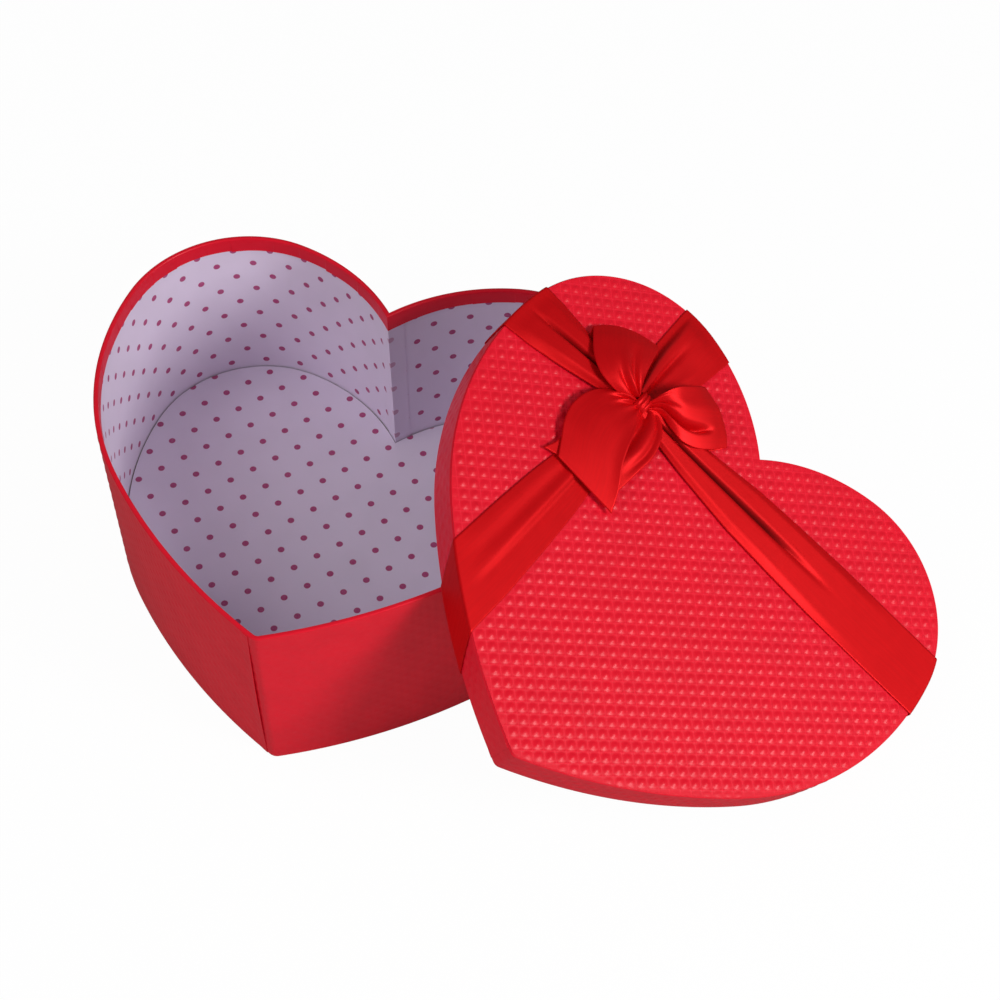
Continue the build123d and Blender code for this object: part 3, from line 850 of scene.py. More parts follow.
class HEARTBOX_OT_studio(Operator):
    """Make the camera, the white floor and the soft studio light"""

    bl_idname = "heartbox.studio"
    bl_label = "Studio"

    def execute(self, context):
        studio = context.scene.heart_box.studio
        turn, rise, roll = studio.azimuth, studio.elevation, studio.roll
        back = Vector((math.sin(turn) * math.cos(rise), -math.cos(turn) * math.cos(rise), math.sin(rise)))
        right = Vector((math.cos(turn), math.sin(turn), 0.0))
        up = back.cross(right)
        rolled = Matrix((right, up, back)).transposed() @ Matrix.Rotation(roll, 3, "Z")
        camera = bpy.data.objects.new("camera", bpy.data.cameras.new("camera"))
        stand = Vector(studio.target) + back * studio.distance
        camera.matrix_world = Matrix.Translation(stand) @ rolled.to_4x4()
        camera.data.sensor_width = 36.0
        camera.data.lens = studio.lens
        camera.data.clip_start = 0.05
        context.scene.collection.objects.link(camera)
        context.scene.camera = camera
        middle = (cad_low + cad_high) / 2
        # Name, power, place from the object's middle, size, and whether gloss mirrors it
        lamps = (
            ("key", studio.key_power, (1.22, -0.36, 0.82), 0.45, True),
            ("fill", studio.fill_power, (-0.65, -0.75, 1.1), 1.1, False),
        )
        for name, power, offset, size, glossy in lamps:
            lamp = bpy.data.lights.new(name, "AREA")
            lamp.energy = power
            lamp.size = size
            holder = bpy.data.objects.new(name, lamp)
            aimed = Vector(offset).to_track_quat("Z", "Y").to_matrix().to_4x4()
            holder.matrix_world = Matrix.Translation(middle + Vector(offset)) @ aimed
            holder.visible_glossy = glossy
            context.scene.collection.objects.link(holder)
        self.sky(context.scene, studio)
        self.floor(studio)
        context.scene.view_settings.view_transform = "Standard"
        return {"FINISHED"}

    def sky(self, scene, studio):
        """Even light from all round, which the camera sees as white."""
        world = bpy.data.worlds.new("studio")
        world.use_nodes = True
        tree = world.node_tree
        tree.nodes.clear()
        rays = tree.nodes.new("ShaderNodeLightPath")
        mirrored = 1 - Wire(tree, rays.outputs["Is Glossy Ray"]) * studio.sky_gloss
        seen = Wire(tree, rays.outputs["Is Camera Ray"]) * (1 - studio.sky) + mirrored * studio.sky
        light = add_node(tree, "ShaderNodeBackground", {}, {"Color": (1.0, 1.0, 1.0, 1.0), "Strength": seen})
        output = tree.nodes.new("ShaderNodeOutputWorld")
        tree.links.new(light.socket, output.inputs["Surface"])
        scene.world = world

    def floor(self, studio):
        """White floor that keeps the object's shadow."""
        reach = 8.0
        level = cad_low.z - 0.1 * mm
        corners = [(x * reach, y * reach, level) for x, y in ((-1, -1), (1, -1), (1, 1), (-1, 1))]
        material, tree, output = new_material("white floor")
        diffuse = add_node(tree, "ShaderNodeBsdfDiffuse", {}, {"Color": (0.94, 0.94, 0.94, 1.0)})
        glow = add_node(tree, "ShaderNodeEmission", {}, {"Color": (1.0, 1.0, 1.0, 1.0), "Strength": 1.0})
        rays = tree.nodes.new("ShaderNodeLightPath")
        seen = Wire(tree, rays.outputs["Is Camera Ray"]) * studio.floor_glow
        mixed = add_node(tree, "ShaderNodeMixShader", {}, {0: seen, 1: diffuse, 2: glow})
        tree.links.new(mixed.socket, output.inputs["Surface"])
        ground = new_piece("floor", corners, [[0, 1, 2, 3]], material)
        ground.visible_glossy = False


class HEARTBOX_OT_box_paper(Operator):
    """Cover the box in embossed red paper, drawn over its rim and under its foot"""

    bl_idname = "heartbox.box_paper"
    bl_label = "Box Paper"

    def execute(self, context):
        settings = context.scene.heart_box
        papers, relief = settings.papers, settings.relief
        path = HeartPath(settings.outline, 0.0, settings.outline.point_round)
        paper = red_paper("embossed red paper", settings.finish.red, settings.finish.red_line_highlight)
        low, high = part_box("base_wrap")
        wall_low = low.z + papers.foot_round
        wall_high = high.z - papers.rim_round
        parts = (0.0, 0.1, 0.35, 0.65, 0.9)
        curl = papers.seam_curl
        outside = wall_strip(settings, path, wall_low, wall_high, parts, curl, upright, "box_wall_paper")
        pressed(outside, waffle_tree(), relief, relief.wall_share, relief.side_line_highlight, paper)
        fit(outside, "box", "embossed_red_paper", "base_wrap")
        fit(self.rim(settings, path, wall_high, high.z, paper), "box", "embossed_red_paper", "base_wrap")
        fit(self.foot(settings, path, low.z, wall_low, paper), "box", "embossed_red_paper", "base_wrap")
        return {"FINISHED"}

    def rim(self, settings, path, wall_high, top, paper):
        """Paper over the rim, slit into tabs that end unevenly down the inside."""
        papers = settings.papers
        random = np.random.default_rng(settings.seed)
        slit, notch_reach, tab_stand = 0.04 * mm, 25 * mm, 0.14 * mm
        places = path.columns(COLUMN)
        bounds = [0.0]
        while bounds[-1] < path.length - papers.tab_pitch:
            bounds.append(bounds[-1] + papers.tab_pitch * random.uniform(0.7, 1.3))
        bounds = np.array(bounds)
        edges = np.concatenate([bounds[1:] - slit, bounds[1:] + slit])
        places = np.unique(np.concatenate([places, edges[edges < path.length]]))
        tab = np.searchsorted(bounds, places, side="right") - 1
        along = (places - bounds[tab]) / papers.tab_pitch
        ends, slants = (random.uniform(-1, 1, len(bounds))[tab] for _ in range(2))
        from_notch = np.minimum(places, path.length - places)
        drop = papers.tab_step * (ends + slants * along)
        drop += papers.notch_turn_in * np.exp(-((from_notch / notch_reach) ** 2))
        lift = tab_stand * (1 - np.clip(along, 0.0, 1.0)) * random.uniform(0.3, 1.0, len(bounds))[tab]
        thick, depth, turn = papers.paper, papers.wall_depth, papers.rim_round
        outer = rounded((0.0, top), (0.0, wall_high), (depth, top), turn)
        inner = rounded((depth, top), (0.0, top), (depth, wall_high), turn)
        sections = []
        for fall, stand in zip(drop, lift):
            end = top - papers.rim_turn_in - fall
            rows = [(depth + stand * t, wall_high + (end - wall_high) * t) for t in (0.3, 0.65, 1.0)]
            back = [(depth - thick + stand, end), (depth - thick, wall_high), (depth - turn, top - thick)]
            sections.append([*outer, *inner, *rows, *back, (turn, top - thick), (thick, wall_high)])
        points, faces = swept(path, places, np.array(sections), upright)
        return new_piece("box_rim_paper", points, faces, paper, sharp=FOLDED)

    def foot(self, settings, path, bottom, wall_low, paper):
        """Paper drawn round the foot and glued under the bottom board."""
        papers = settings.papers
        thick, reach = papers.paper, papers.fold_reach
        outer = rounded((0.0, bottom), (0.0, wall_low), (reach, bottom), papers.foot_round)
        back = bottom + thick
        inner = [(reach, bottom), (reach, back), (papers.foot_round, back), (thick, wall_low)]
        points, faces = swept(path, path.columns(COLUMN), np.array([*outer, *inner]), upright)
        return new_piece("box_foot_paper", points, faces, paper, sharp=FOLDED)


class HEARTBOX_OT_lining(Operator):
    """Line the box with dotted paper"""

    bl_idname = "heartbox.lining"
    bl_label = "Lining"

    def execute(self, context):
        settings = context.scene.heart_box
        papers, finish = settings.papers, settings.finish
        low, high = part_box("base_wall_lining")
        depth = papers.lining_depth
        inner = HeartPath(settings.outline, -depth, settings.outline.point_round - depth)
        lap = papers.lining_lap
        total = inner.length + 2 * lap
        step = 1.5 * mm
        corners = np.array([lap, lap + inner.length])
        places = np.linspace(0.0, total, round(total / step))
        apart = np.abs(places[:, None] - corners).min(1) > step / 4
        places = np.sort(np.concatenate([places[apart], corners]))
        turned = places - lap
        turned[np.isin(places, corners)] = 0.0
        rows = np.linspace(low.z, high.z - 2 * papers.rim_round, 9)
        point, normal, _ = inner.at(turned)
        lap_start, lap_rise = 0.4 * mm, 1.2 * papers.lining
        doubled = np.clip((places - inner.length) / lap_start, 0.0, 1.0)
        front = point - normal * (papers.lining + doubled * lap_rise)[:, None]
        back = point - normal * (doubled * lap_rise)[:, None]
        rings = []
        flats = []
        for ring, heights in ((front, rows), (back, rows[::-1])):
            for height in heights:
                rings.append(with_height(ring, height))
                flats.append(np.stack([places, np.full_like(places, height), doubled], -1))
        points = np.concatenate(rings)
        count = len(places)
        faces = grid_faces(len(rings), count, wrap_rows=True)
        last = [row * count + count - 1 for row in range(len(rings))]
        faces += [last, [row * count for row in reversed(range(len(rings)))]]
        wall_turn, floor_turn = math.radians(45.0), math.radians(45.0 - 3.5)
        wall_start, floor_start = (0.176, 0.296), (0.654, 0.491)
        material = dotted_paper("dotted wall lining", finish, flat_attribute, wall_turn, wall_start)
        attributes = {"flat": np.concatenate(flats)}
        piece = new_piece("box_wall_lining", points, faces, material, attributes, sharp=FOLDED)
        fit(piece, "box", "dotted_lining_paper", "base_wall_lining")
        floor = dotted_paper("dotted floor lining", finish, object_place, floor_turn, floor_start)
        for node in ("floor_pad_paper", "lid_lining"):
            paint(node, floor)
        return {"FINISHED"}


def paint(node, material):
    """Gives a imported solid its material."""
    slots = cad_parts[node].data.materials
    slots.clear()
    slots.append(material)


class HEARTBOX_OT_boards(Operator):
    """Finish the boards, tapes and bottom sheet that the papers cover"""

    bl_idname = "heartbox.boards"
    bl_label = "Boards"

    def execute(self, context):
        finish = context.scene.heart_box.finish
        finishes = {
            board_material(finish): (
                "base_bottom_board",
                "base_left_wall",
                "base_right_wall",
                "floor_pad_board",
                "lid_top_board",
                "lid_left_wall",
                "lid_right_wall",
            ),
            kraft_material(finish): (
                "base_point_tape",
                "base_notch_tape",
                "lid_point_tape",
                "lid_notch_tape",
            ),
            red_paper("bottom paper", finish.red_bottom, finish.red_bottom): ("base_bottom_sheet",),
        }
        for material, nodes in finishes.items():
            for node in nodes:
                paint(node, material)
        return {"FINISHED"}


class HEARTBOX_OT_lid_paper(Operator):
    """Cover the lid in embossed red paper"""

    bl_idname = "heartbox.lid_paper"
    bl_label = "Lid Paper"

    def execute(self, context):
        settings = context.scene.heart_box
        lid, relief, papers = settings.lid, settings.relief, settings.papers
        place = LidFrame(settings).place
        path = HeartPath(settings.outline, lid.skirt_outside, lid.point_round)
        paper = bpy.data.materials["embossed red paper"]
        tree = bpy.data.node_groups["waffle relief"]
        foot = -lid.depth
        skirt_low = foot + papers.foot_round
        skirt_high = -papers.paper - lid.edge_round
        parts = (0.0, 0.08, 0.2, 0.4, 0.6, 0.8, 0.92)
        skirt = wall_strip(settings, path, skirt_low, skirt_high, parts, 0.0, place, "lid_skirt_paper")
        pressed(skirt, tree, relief, relief.skirt_share, relief.side_line_highlight, paper)
        fit(skirt, "lid", "embossed_red_paper", "lid_side_wrap")
        folds = self.folds(settings, path, skirt_low, skirt_high, place, paper)
        fit(folds, "lid", "embossed_red_paper", "lid_side_wrap")
        fit(self.top(settings, parts, place, paper, tree), "lid", "embossed_red_paper", "lid_top_sheet")
        return {"FINISHED"}

    def folds(self, settings, path, skirt_low, skirt_high, place, paper):
        """Side paper drawn over the lid's top edge, and in under its skirt to the ceiling."""
        lid, papers = settings.lid, settings.papers
        thick = papers.paper
        top, foot, ceiling = -thick, -lid.depth, -lid.ceiling
        inside = lid.skirt_outside - lid.skirt_inside
        turn = papers.fold_reach
        over = rounded((0.0, top), (0.0, skirt_high), (turn, top), lid.edge_round)
        upper = [*over, (turn, top), (turn, top - thick), (lid.edge_round, top - thick), (thick, skirt_high)]
        under = rounded((0.0, foot), (0.0, skirt_low), (inside, foot), papers.foot_round)
        inward = rounded((inside, foot), (0.0, foot), (inside, ceiling), papers.foot_round)
        face = [(inside, ceiling), (inside - thick, ceiling), (inside - thick, skirt_low), (thick, skirt_low)]
        places = path.columns(COLUMN)
        points, faces = swept(path, places, np.array(upper), place)
        lower = [*under, *inward, *face]
        more, more_faces = swept(path, places, np.array(lower), place)
        faces += [[len(points) + index for index in reversed(face)] for face in more_faces]
        return new_piece("lid_fold_paper", np.concatenate([points, more]), faces, paper, sharp=FOLDED)

    def top(self, settings, parts, place, paper, tree):
        """Embossed sheet over the top of the lid."""
        lid, relief, papers = settings.lid, settings.relief, settings.papers
        grow = lid.skirt_outside - lid.top_margin
        corner = lid.point_round - lid.top_margin
        path = HeartPath(settings.outline, grow, corner)
        margin = 0.3 * mm
        inner = HeartPath(settings.outline, grow - margin, corner - margin)
        outline = path.at(path.columns(relief.pitch / len(parts)))[0][::-1]
        grids = lattices(outline.min(0), outline.max(0), relief, parts)
        fine, coarse = (points[inner.holds(points)] for points in grids)
        flat, on_face, faces = sheet_solid(outline, fine, coarse, (), path.holds)
        firm = np.zeros(len(flat))
        depths = np.linspace(0.8, 3.2, 7) * mm
        for depth in depths:
            firm += HeartPath(settings.outline, grow - depth, corner - depth).holds(flat) / len(depths)
        firm *= 1 - covered(settings.ribbon, flat) * (1 - relief.under_ribbon)
        points = with_height(flat, papers.paper * (on_face - 1))
        push = with_height(np.zeros_like(flat), on_face * firm)
        sheet = relief_piece("lid_top_paper", points, faces, place, flat, push)
        return pressed(sheet, tree, relief, 1.0, 1.0, paper)


# Ribbons and bow


def smooth_line(knots, shares):
    """Points of a smooth line through knots, at shares of its length from knot to knot."""
    knots = np.asarray(knots, float)
    marks = np.concatenate([[0.0], np.cumsum(np.linalg.norm(np.diff(knots, axis=0), axis=1))])
    marks /= marks[-1]
    slopes = np.gradient(knots, marks, axis=0)
    shares = np.asarray(shares, float)
    index = np.clip(np.searchsorted(marks, shares, side="right") - 1, 0, len(marks) - 2)
    span = (marks[index + 1] - marks[index])[..., None]
    t = (shares[..., None] - marks[index][..., None]) / span
    start, end = knots[index], knots[index + 1]
    leave, arrive = slopes[index] * span, slopes[index + 1] * span
    rise = t * t * (3 - 2 * t)
    return start + (end - start) * rise + leave * (t * (1 - t) ** 2) - arrive * (t * t * (1 - t))


def ridge(across, place, before, after):
    """A fold's height across a ribbon: 1 at its place, falling off over its own width on each side."""
    gap = across - place
    return np.exp(-((gap / np.where(gap < 0, before, after)) ** 2))


def within(value, start, end):
    """1 up to start, falling smoothly to 0 at end."""
    t = np.clip((value - start) / (end - start), 0.0, 1.0)
    return 1 - t * t * (3 - 2 * t)


def satin_piece(name, points, flat, ribbon, crease=0.0):
    """Ribbon through a grid of points, as thick as the satin, with painted shade stored to darken it down in
    its sharp creases.
    """
    rows, columns = points.shape[:2]
    none = np.zeros((rows, columns))
    attributes = {
        "flat": np.stack([flat[..., 0], flat[..., 1], none], -1).reshape(-1, 3),
        # painted shade of the creases, read by the satin material
        "crease": np.stack([none + crease, none, none], -1).reshape(-1, 3),
    }
    satin = bpy.data.materials["satin ribbon"]
    piece = new_piece(name, points.reshape(-1, 3), grid_faces(rows, columns), satin, attributes, 60.0)
    solid = piece.modifiers.new("thickness", "SOLIDIFY")
    solid.thickness = ribbon.thickness
    solid.offset = 0.0
    return piece


def half_width(widths, reach):
    """Half of an arm's width at distances from the crossing; its widths are in millimetres."""
    distances, full = np.array(widths).T * mm
    return np.interp(reach, distances, full) / 2


def covered(ribbon, flat):
    """1 where a ribbon lies on the lid's top, falling to 0 just beside it."""
    cover = np.zeros(len(flat))
    for across, arms in RIBBONS:
        for direction, widths, *_ in arms:
            axes = np.stack([unit(direction), across], -1)
            reach, side = np.linalg.solve(axes, (flat - np.array(ribbon.knot) - np.array(ribbon.crossing)).T)
            beside = np.abs(side) / half_width(widths, reach)
            cover = np.maximum(cover, within(beside, 1.03, 1.13) * (reach > 0))
    return cover


class RibbonArm:
    """One arm of a ribbon: from the knot over the lid's edge, down its skirt and in under it."""

    def __init__(self, settings, direction, across, widths, level, folds, crease):
        self.ribbon = settings.ribbon
        self.direction, self.across, self.widths = direction, across, widths
        self.level, self.folds, self.crease = level, folds, crease
        ribbon, lid, relief = settings.ribbon, settings.lid, settings.relief
        clear = ribbon.slack + ribbon.thickness / 2
        self.outside = lid.skirt_outside + relief.pad_rise * relief.skirt_share + clear
        self.inside = lid.skirt_inside - clear
        self.foot = -lid.depth - clear
        self.bend = HeartPath(settings.outline, self.outside - ribbon.edge_round, lid.point_round)
        self.knot = np.array(ribbon.knot) + np.array(ribbon.crossing)

    def spot(self, reach, u):
        """Place on the lid's top at a distance from the knot and a share of the half width."""
        half = half_width(self.widths, reach)
        return self.knot + self.direction * reach[..., None] + self.across * (u * half)[..., None]

    def lid_edge(self, u):
        """Distance from the knot to where the ribbon bends over the lid's edge, found by halving."""
        beyond, halvings = 0.26, 40
        near, far = np.zeros_like(u), np.full_like(u, beyond)
        for _ in range(halvings):
            middle = (near + far) / 2
            held = self.bend.holds(self.spot(middle, u))
            near, far = np.where(held, middle, near), np.where(held, far, middle)
        return near

    def rows(self, u):
        """Grid of points from the knot outwards, their distances along the ribbon and the painted shade of
        their creases.
        """
        row_step, probe = 1.6 * mm, 0.5 * mm
        near = self.lid_edge(u)
        count = int(round(near.mean() / row_step))
        shares = np.linspace(0.0, 1.0, count)
        reach = shares[:, None] * near
        across = np.broadcast_to(u, reach.shape)
        flat = self.spot(reach, across)
        flattened = within(shares, 0.86, 1.0)[:, None]
        top = with_height(flat, self.level + self.folds(across, reach / mm) * mm * flattened)
        ahead = unit(self.spot(near + probe, u) - self.spot(near - probe, u))
        edge = self.bend.place_of(self.spot(near, u))
        _, normal, tangent = self.bend.at(edge)
        drift = (ahead * tangent).sum(-1) / (ahead * normal).sum(-1)
        section = self.section()
        travel = np.cumsum(np.linalg.norm(np.diff(section, axis=0), axis=1))
        point, normal, _ = self.bend.at(edge + travel[:, None] * drift)
        down = with_height(point + normal * section[1:, None, :1], section[1:, 1:])
        along = np.concatenate([reach, near + travel[:, None] * np.sqrt(1 + drift**2)])
        # Painted shade: darkness laid along the arm's crease, fading out along its reach
        place, width, start, end, depth = self.crease
        shade = depth * ridge(across, place, width, width) * within(reach / mm, start, end)
        shade = np.concatenate([shade, np.zeros(along[count:].shape)])
        return np.concatenate([top, down]), along, shade

    def section(self):
        """Profile past the lid's edge: distances out from the bend's start, and heights."""
        ribbon = self.ribbon
        out, inward = ribbon.edge_round, self.inside - self.outside + ribbon.edge_round
        tuck_top = self.foot + ribbon.tuck
        small = 0.7 * mm
        bend = rounded((out, self.level), (0.0, self.level), (out, self.foot), out, 7)
        drop = [(out, height) for height in np.linspace(self.level - out, self.foot + small, 14)[1:-1]]
        under = rounded((out, self.foot), (out, 0.0), (inward, self.foot), small)
        rise = rounded((inward, self.foot), (out, self.foot), (inward, tuck_top), small)
        tuck = [(inward, height) for height in np.linspace(self.foot + small, tuck_top, 7)[1:]]
        return np.array([*bend, *drop, *under, *rise, *tuck])


class HEARTBOX_OT_ribbons(Operator):
    """Lay the two ribbons over the lid, gathered at the knot and tucked in under the skirt"""

    bl_idname = "heartbox.ribbons"
    bl_label = "Ribbons"

    def execute(self, context):
        settings = context.scene.heart_box
        satin_material(settings.finish)
        ribbon, relief = settings.ribbon, settings.relief
        tallest_pad = relief.pad_rise * relief.under_ribbon * (PAD_LEAST + PAD_SPREAD)
        level = tallest_pad + ribbon.slack + ribbon.thickness / 2
        place = LidFrame(settings).place
        rests = ["lid_top_paper"]
        for node, cut_length, laid in zip(("ribbon_down", "ribbon_across"), (0.316, 0.37), RIBBONS):
            piece = self.ribbon_piece(settings, place, f"{node}_satin", level, *laid)
            fit(piece, "lid", "satin_ribbon", node)
            rests = [*rests, f"{node}_satin"]
            level += ribbon.thickness + 2 * ribbon.slack
        return {"FINISHED"}

    def ribbon_piece(self, settings, place, name, level, across, arms):
        """One ribbon of two arms that meet under the knot."""
        u = np.linspace(-1.0, 1.0, 45)
        grids = []
        for direction, widths, folds, crease in arms:
            arm = RibbonArm(settings, unit(direction), np.array(across), widths, level, folds, crease)
            grids.append(arm.rows(u))
        (first, first_along, first_shade), (second, second_along, second_shade) = grids
        points = np.concatenate([first[:0:-1], second])
        along = np.concatenate([-first_along[:0:-1], second_along])
        flat = np.stack([np.broadcast_to(u * settings.ribbon.width / 2, along.shape), along], -1)
        # painted shade of both arms' creases
        crease = np.concatenate([first_shade[:0:-1], second_shade])
        return satin_piece(name, place(points), flat, settings.ribbon, crease)


# Widths of the arms at distances from the crossing, all in millimetres
UPPER_WIDTHS = ((0, 9), (15, 19), (30, 29), (40, 33), (62, 36), (80, 38))
LOWER_WIDTHS = ((0, 11), (30, 19), (61, 27.7), (75, 31), (100, 34.5), (136, 38), (180, 38))
LEFT_WIDTHS = ((0, 9), (25, 20), (45, 28), (64, 34), (90, 38))
RIGHT_WIDTHS = ((0, 9), (24, 17.5), (41, 23.4), (79, 33), (110, 36), (140, 38), (230, 38))


# Heights of the arms' folds in millimetres: u is -1 to 1 across the ribbon, reach is in millimetres


def upper_folds(u, reach):
    """A pleat that steps up along the left edge, a second one beside it and a third drawn up to the knot."""
    stepped = 2.4 * within(-u, 0.66, 0.8) * within(u, -0.6, 1.0)
    second = -2.2 * ridge(u, -0.22, 0.09, 0.14) * within(reach, 25.0, 60.0)
    third = 1.6 * ridge(u, 0.5, 0.22, 0.12) * within(reach, 10.0, 48.0)
    return 3.0 * np.exp(-reach / 18) + stepped * within(reach, 50.0, 85.0) + second + third


def lower_folds(u, reach):
    """A hollow left of a sharp crease down the middle, and a second shallow one on its right."""
    crease = 1.5 * ridge(u, 0.05, 0.3, 0.14) + 0.9 * ridge(u, -0.65, 0.4, 0.3) - 0.6 * ridge(u, 0.5, 0.2, 0.2)
    return 3.0 * np.exp(-reach / 18) + np.maximum(crease, 0.0) * within(reach, 80.0, 170.0)


def left_folds(u, reach):
    """A deep narrow fold between two flat halves that fall away from the knot, almost to the lid's edge."""
    fold = ridge(u, 0.045, 0.075, 0.085)
    halves = (3.4 + 0.5 * u) * within(np.abs(u), 0.6, 1.06) * (1 - fold)
    drawn_up = 4.0 * within(reach, -20.0, 60.0) * (1 - 0.8 * fold)
    return drawn_up + halves * within(reach, 42.0, 84.0)


def right_folds(u, reach):
    """A long narrow fold down the middle of two strips, which ends where the ribbon lies flat again."""
    strips = (2.6 + 0.9 * u) * within(np.abs(u), 0.7, 1.06)
    fold = strips * ridge(u, 0.045, 0.1, 0.075) * within(reach, 95.0, 150.0)
    return 3.0 * np.exp(-reach / 18) + (strips - fold) * within(reach, 90.0, 190.0)


# Each arm's painted crease shade: its place and width across, where it fades from and to, and how dark it is
UPPER_CREASE_SHADE = (-0.66, 0.08, 40.0, 70.0, 0.7)
LOWER_CREASE_SHADE = (0.19, 0.05, 40.0, 90.0, 0.4)
LEFT_CREASE_SHADE = (0.045, 0.1, 42.0, 76.0, 0.9)
RIGHT_CREASE_SHADE = (0.06, 0.1, 92.0, 128.0, 0.95)

# Each ribbon: the direction across it, and both arms' directions from the knot, widths, folds and painted
# crease shades
RIBBONS = (
    (
        (1.0, 0.0),
        (
            ((0.05, 1.0), UPPER_WIDTHS, upper_folds, UPPER_CREASE_SHADE),
            ((-0.031, -1.0), LOWER_WIDTHS, lower_folds, LOWER_CREASE_SHADE),
        ),
    ),
    (
        (0.0, 1.0),
        (
            ((-1.0, -0.055), LEFT_WIDTHS, left_folds, LEFT_CREASE_SHADE),
            ((1.0, 0.024), RIGHT_WIDTHS, right_folds, RIGHT_CREASE_SHADE),
        ),
    ),
)


# Plan of the bow on the lid, in millimetres from the knot: a loop's edges and its side view, a tail's edges
LEFT_LOOP = {
    "lower": (
        (-2.5, -5.0), (-8.0, -9.0), (-15.0, -11.0), (-25.9, -10.4),
        (-33.7, -5.7), (-39.9, 1.8), (-45.1, 11.3),
    ),
    "upper": ((-2.0, -0.5), (-4.3, 2.3), (-6.9, 6.2), (-9.6, 14.5), (-11.3, 24.9), (-12.4, 32.0)),
    "side": (
        (0.0, 7.0), (0.22, 12.4), (0.42, 13.8), (0.68, 12.0), (0.9, 8.4),
        (1.0, 4.8), (0.95, 2.6), (0.7, 2.2), (0.35, 2.4), (0.0, 3.2),
    ),
    "tilt": 0.05,
    "droop": 0.24,
    "bulge": 4.5,
}
RIGHT_LOOP = {
    "lower": ((3.5, -5.0), (11.1, 0.5), (21.3, -1.6), (29.8, -2.2), (36.3, 0.6), (43.9, 7.8), (50.5, 18.3)),
    "upper": ((3.0, -1.0), (4.6, 4.0), (7.6, 11.8), (12.8, 20.4), (20.5, 33.0)),
    "side": (
        (0.0, 7.0), (0.18, 11.2), (0.34, 12.4), (0.62, 10.8), (0.9, 7.4),
        (1.0, 4.8), (0.95, 2.6), (0.7, 2.2), (0.35, 2.4), (0.0, 3.2),
    ),
    "tilt": 0.42,
    "droop": 0.02,
    "bulge": 4.0,
}
FRONT_TAIL = {
    "left": (
        (-2.0, -5.0, 6.0), (-8.8, -7.3, 7.5), (-18.6, -13.0, 6.5), (-25.0, -25.4, 6.0),
        (-25.7, -33.2, 5.5), (-23.4, -43.1, 5.0), (-18.0, -52.7, 4.5), (-12.6, -62.1, 4.0),
    ),
    "right": (
        (2.5, -5.0, 6.0), (4.6, -11.3, 8.5), (7.9, -24.4, 12.0),
        (14.8, -42.6, 10.5), (22.0, -52.9, 7.5), (27.5, -63.8, 4.0),
    ),
}
BACK_TAIL = {
    "left": (
        (-2.0, -5.5, 4.0), (-8.0, -15.0, 5.5), (-15.0, -30.0, 6.0),
        (-18.5, -45.0, 4.5), (-18.5, -55.6, 3.2), (-21.2, -63.4, 2.6),
    ),
    "right": (
        (3.5, -4.5, 4.2), (11.1, -1.0, 6.0), (18.2, -6.4, 7.5), (22.1, -14.5, 8.0),
        (24.0, -22.0, 7.5), (23.6, -34.5, 6.0), (22.6, -50.4, 3.4),
    ),
}


KNOT_SIDE = ((2.6, 2.8), (3.4, 6.0), (1.2, 9.0), (-3.0, 10.0), (-7.0, 8.6), (-8.8, 5.2), (-7.2, 2.8))
# Half widths and lengths over which the satin's weave is laid out, in millimetres
LOOP_WEAVE = (19.0, 84.0)
TAIL_WEAVE = (19.0, 70.0)
KNOT_WEAVE = (5.0, 24.0)


def spans(rows, columns):
    """Shares along a ribbon, and -1 to 1 across it."""
    return np.linspace(0.0, 1.0, rows)[:, None], np.linspace(-1.0, 1.0, columns)[None, :]


def weave_places(t, u, weave):
    """Where the points of a grid are on the flat ribbon."""
    return np.stack(np.broadcast_arrays(u * weave[0], t * weave[1]), -1)


def gathers(u, reach, end):
    """Small pleats at the knot, fading out by a share of the loop's or tail's length."""
    return 0.8 * np.cos(3 * math.pi * u) * np.clip(1 - reach / end, 0.0, 1.0) ** 1.5


def grid_between(one, two, reach, u):
    """Grid of points between two smooth lines."""
    one, two = (smooth_line(knots, reach)[:, None, :] for knots in (one, two))
    weight = (u[..., None] + 1) / 2
    return one * (1 - weight) + two * weight


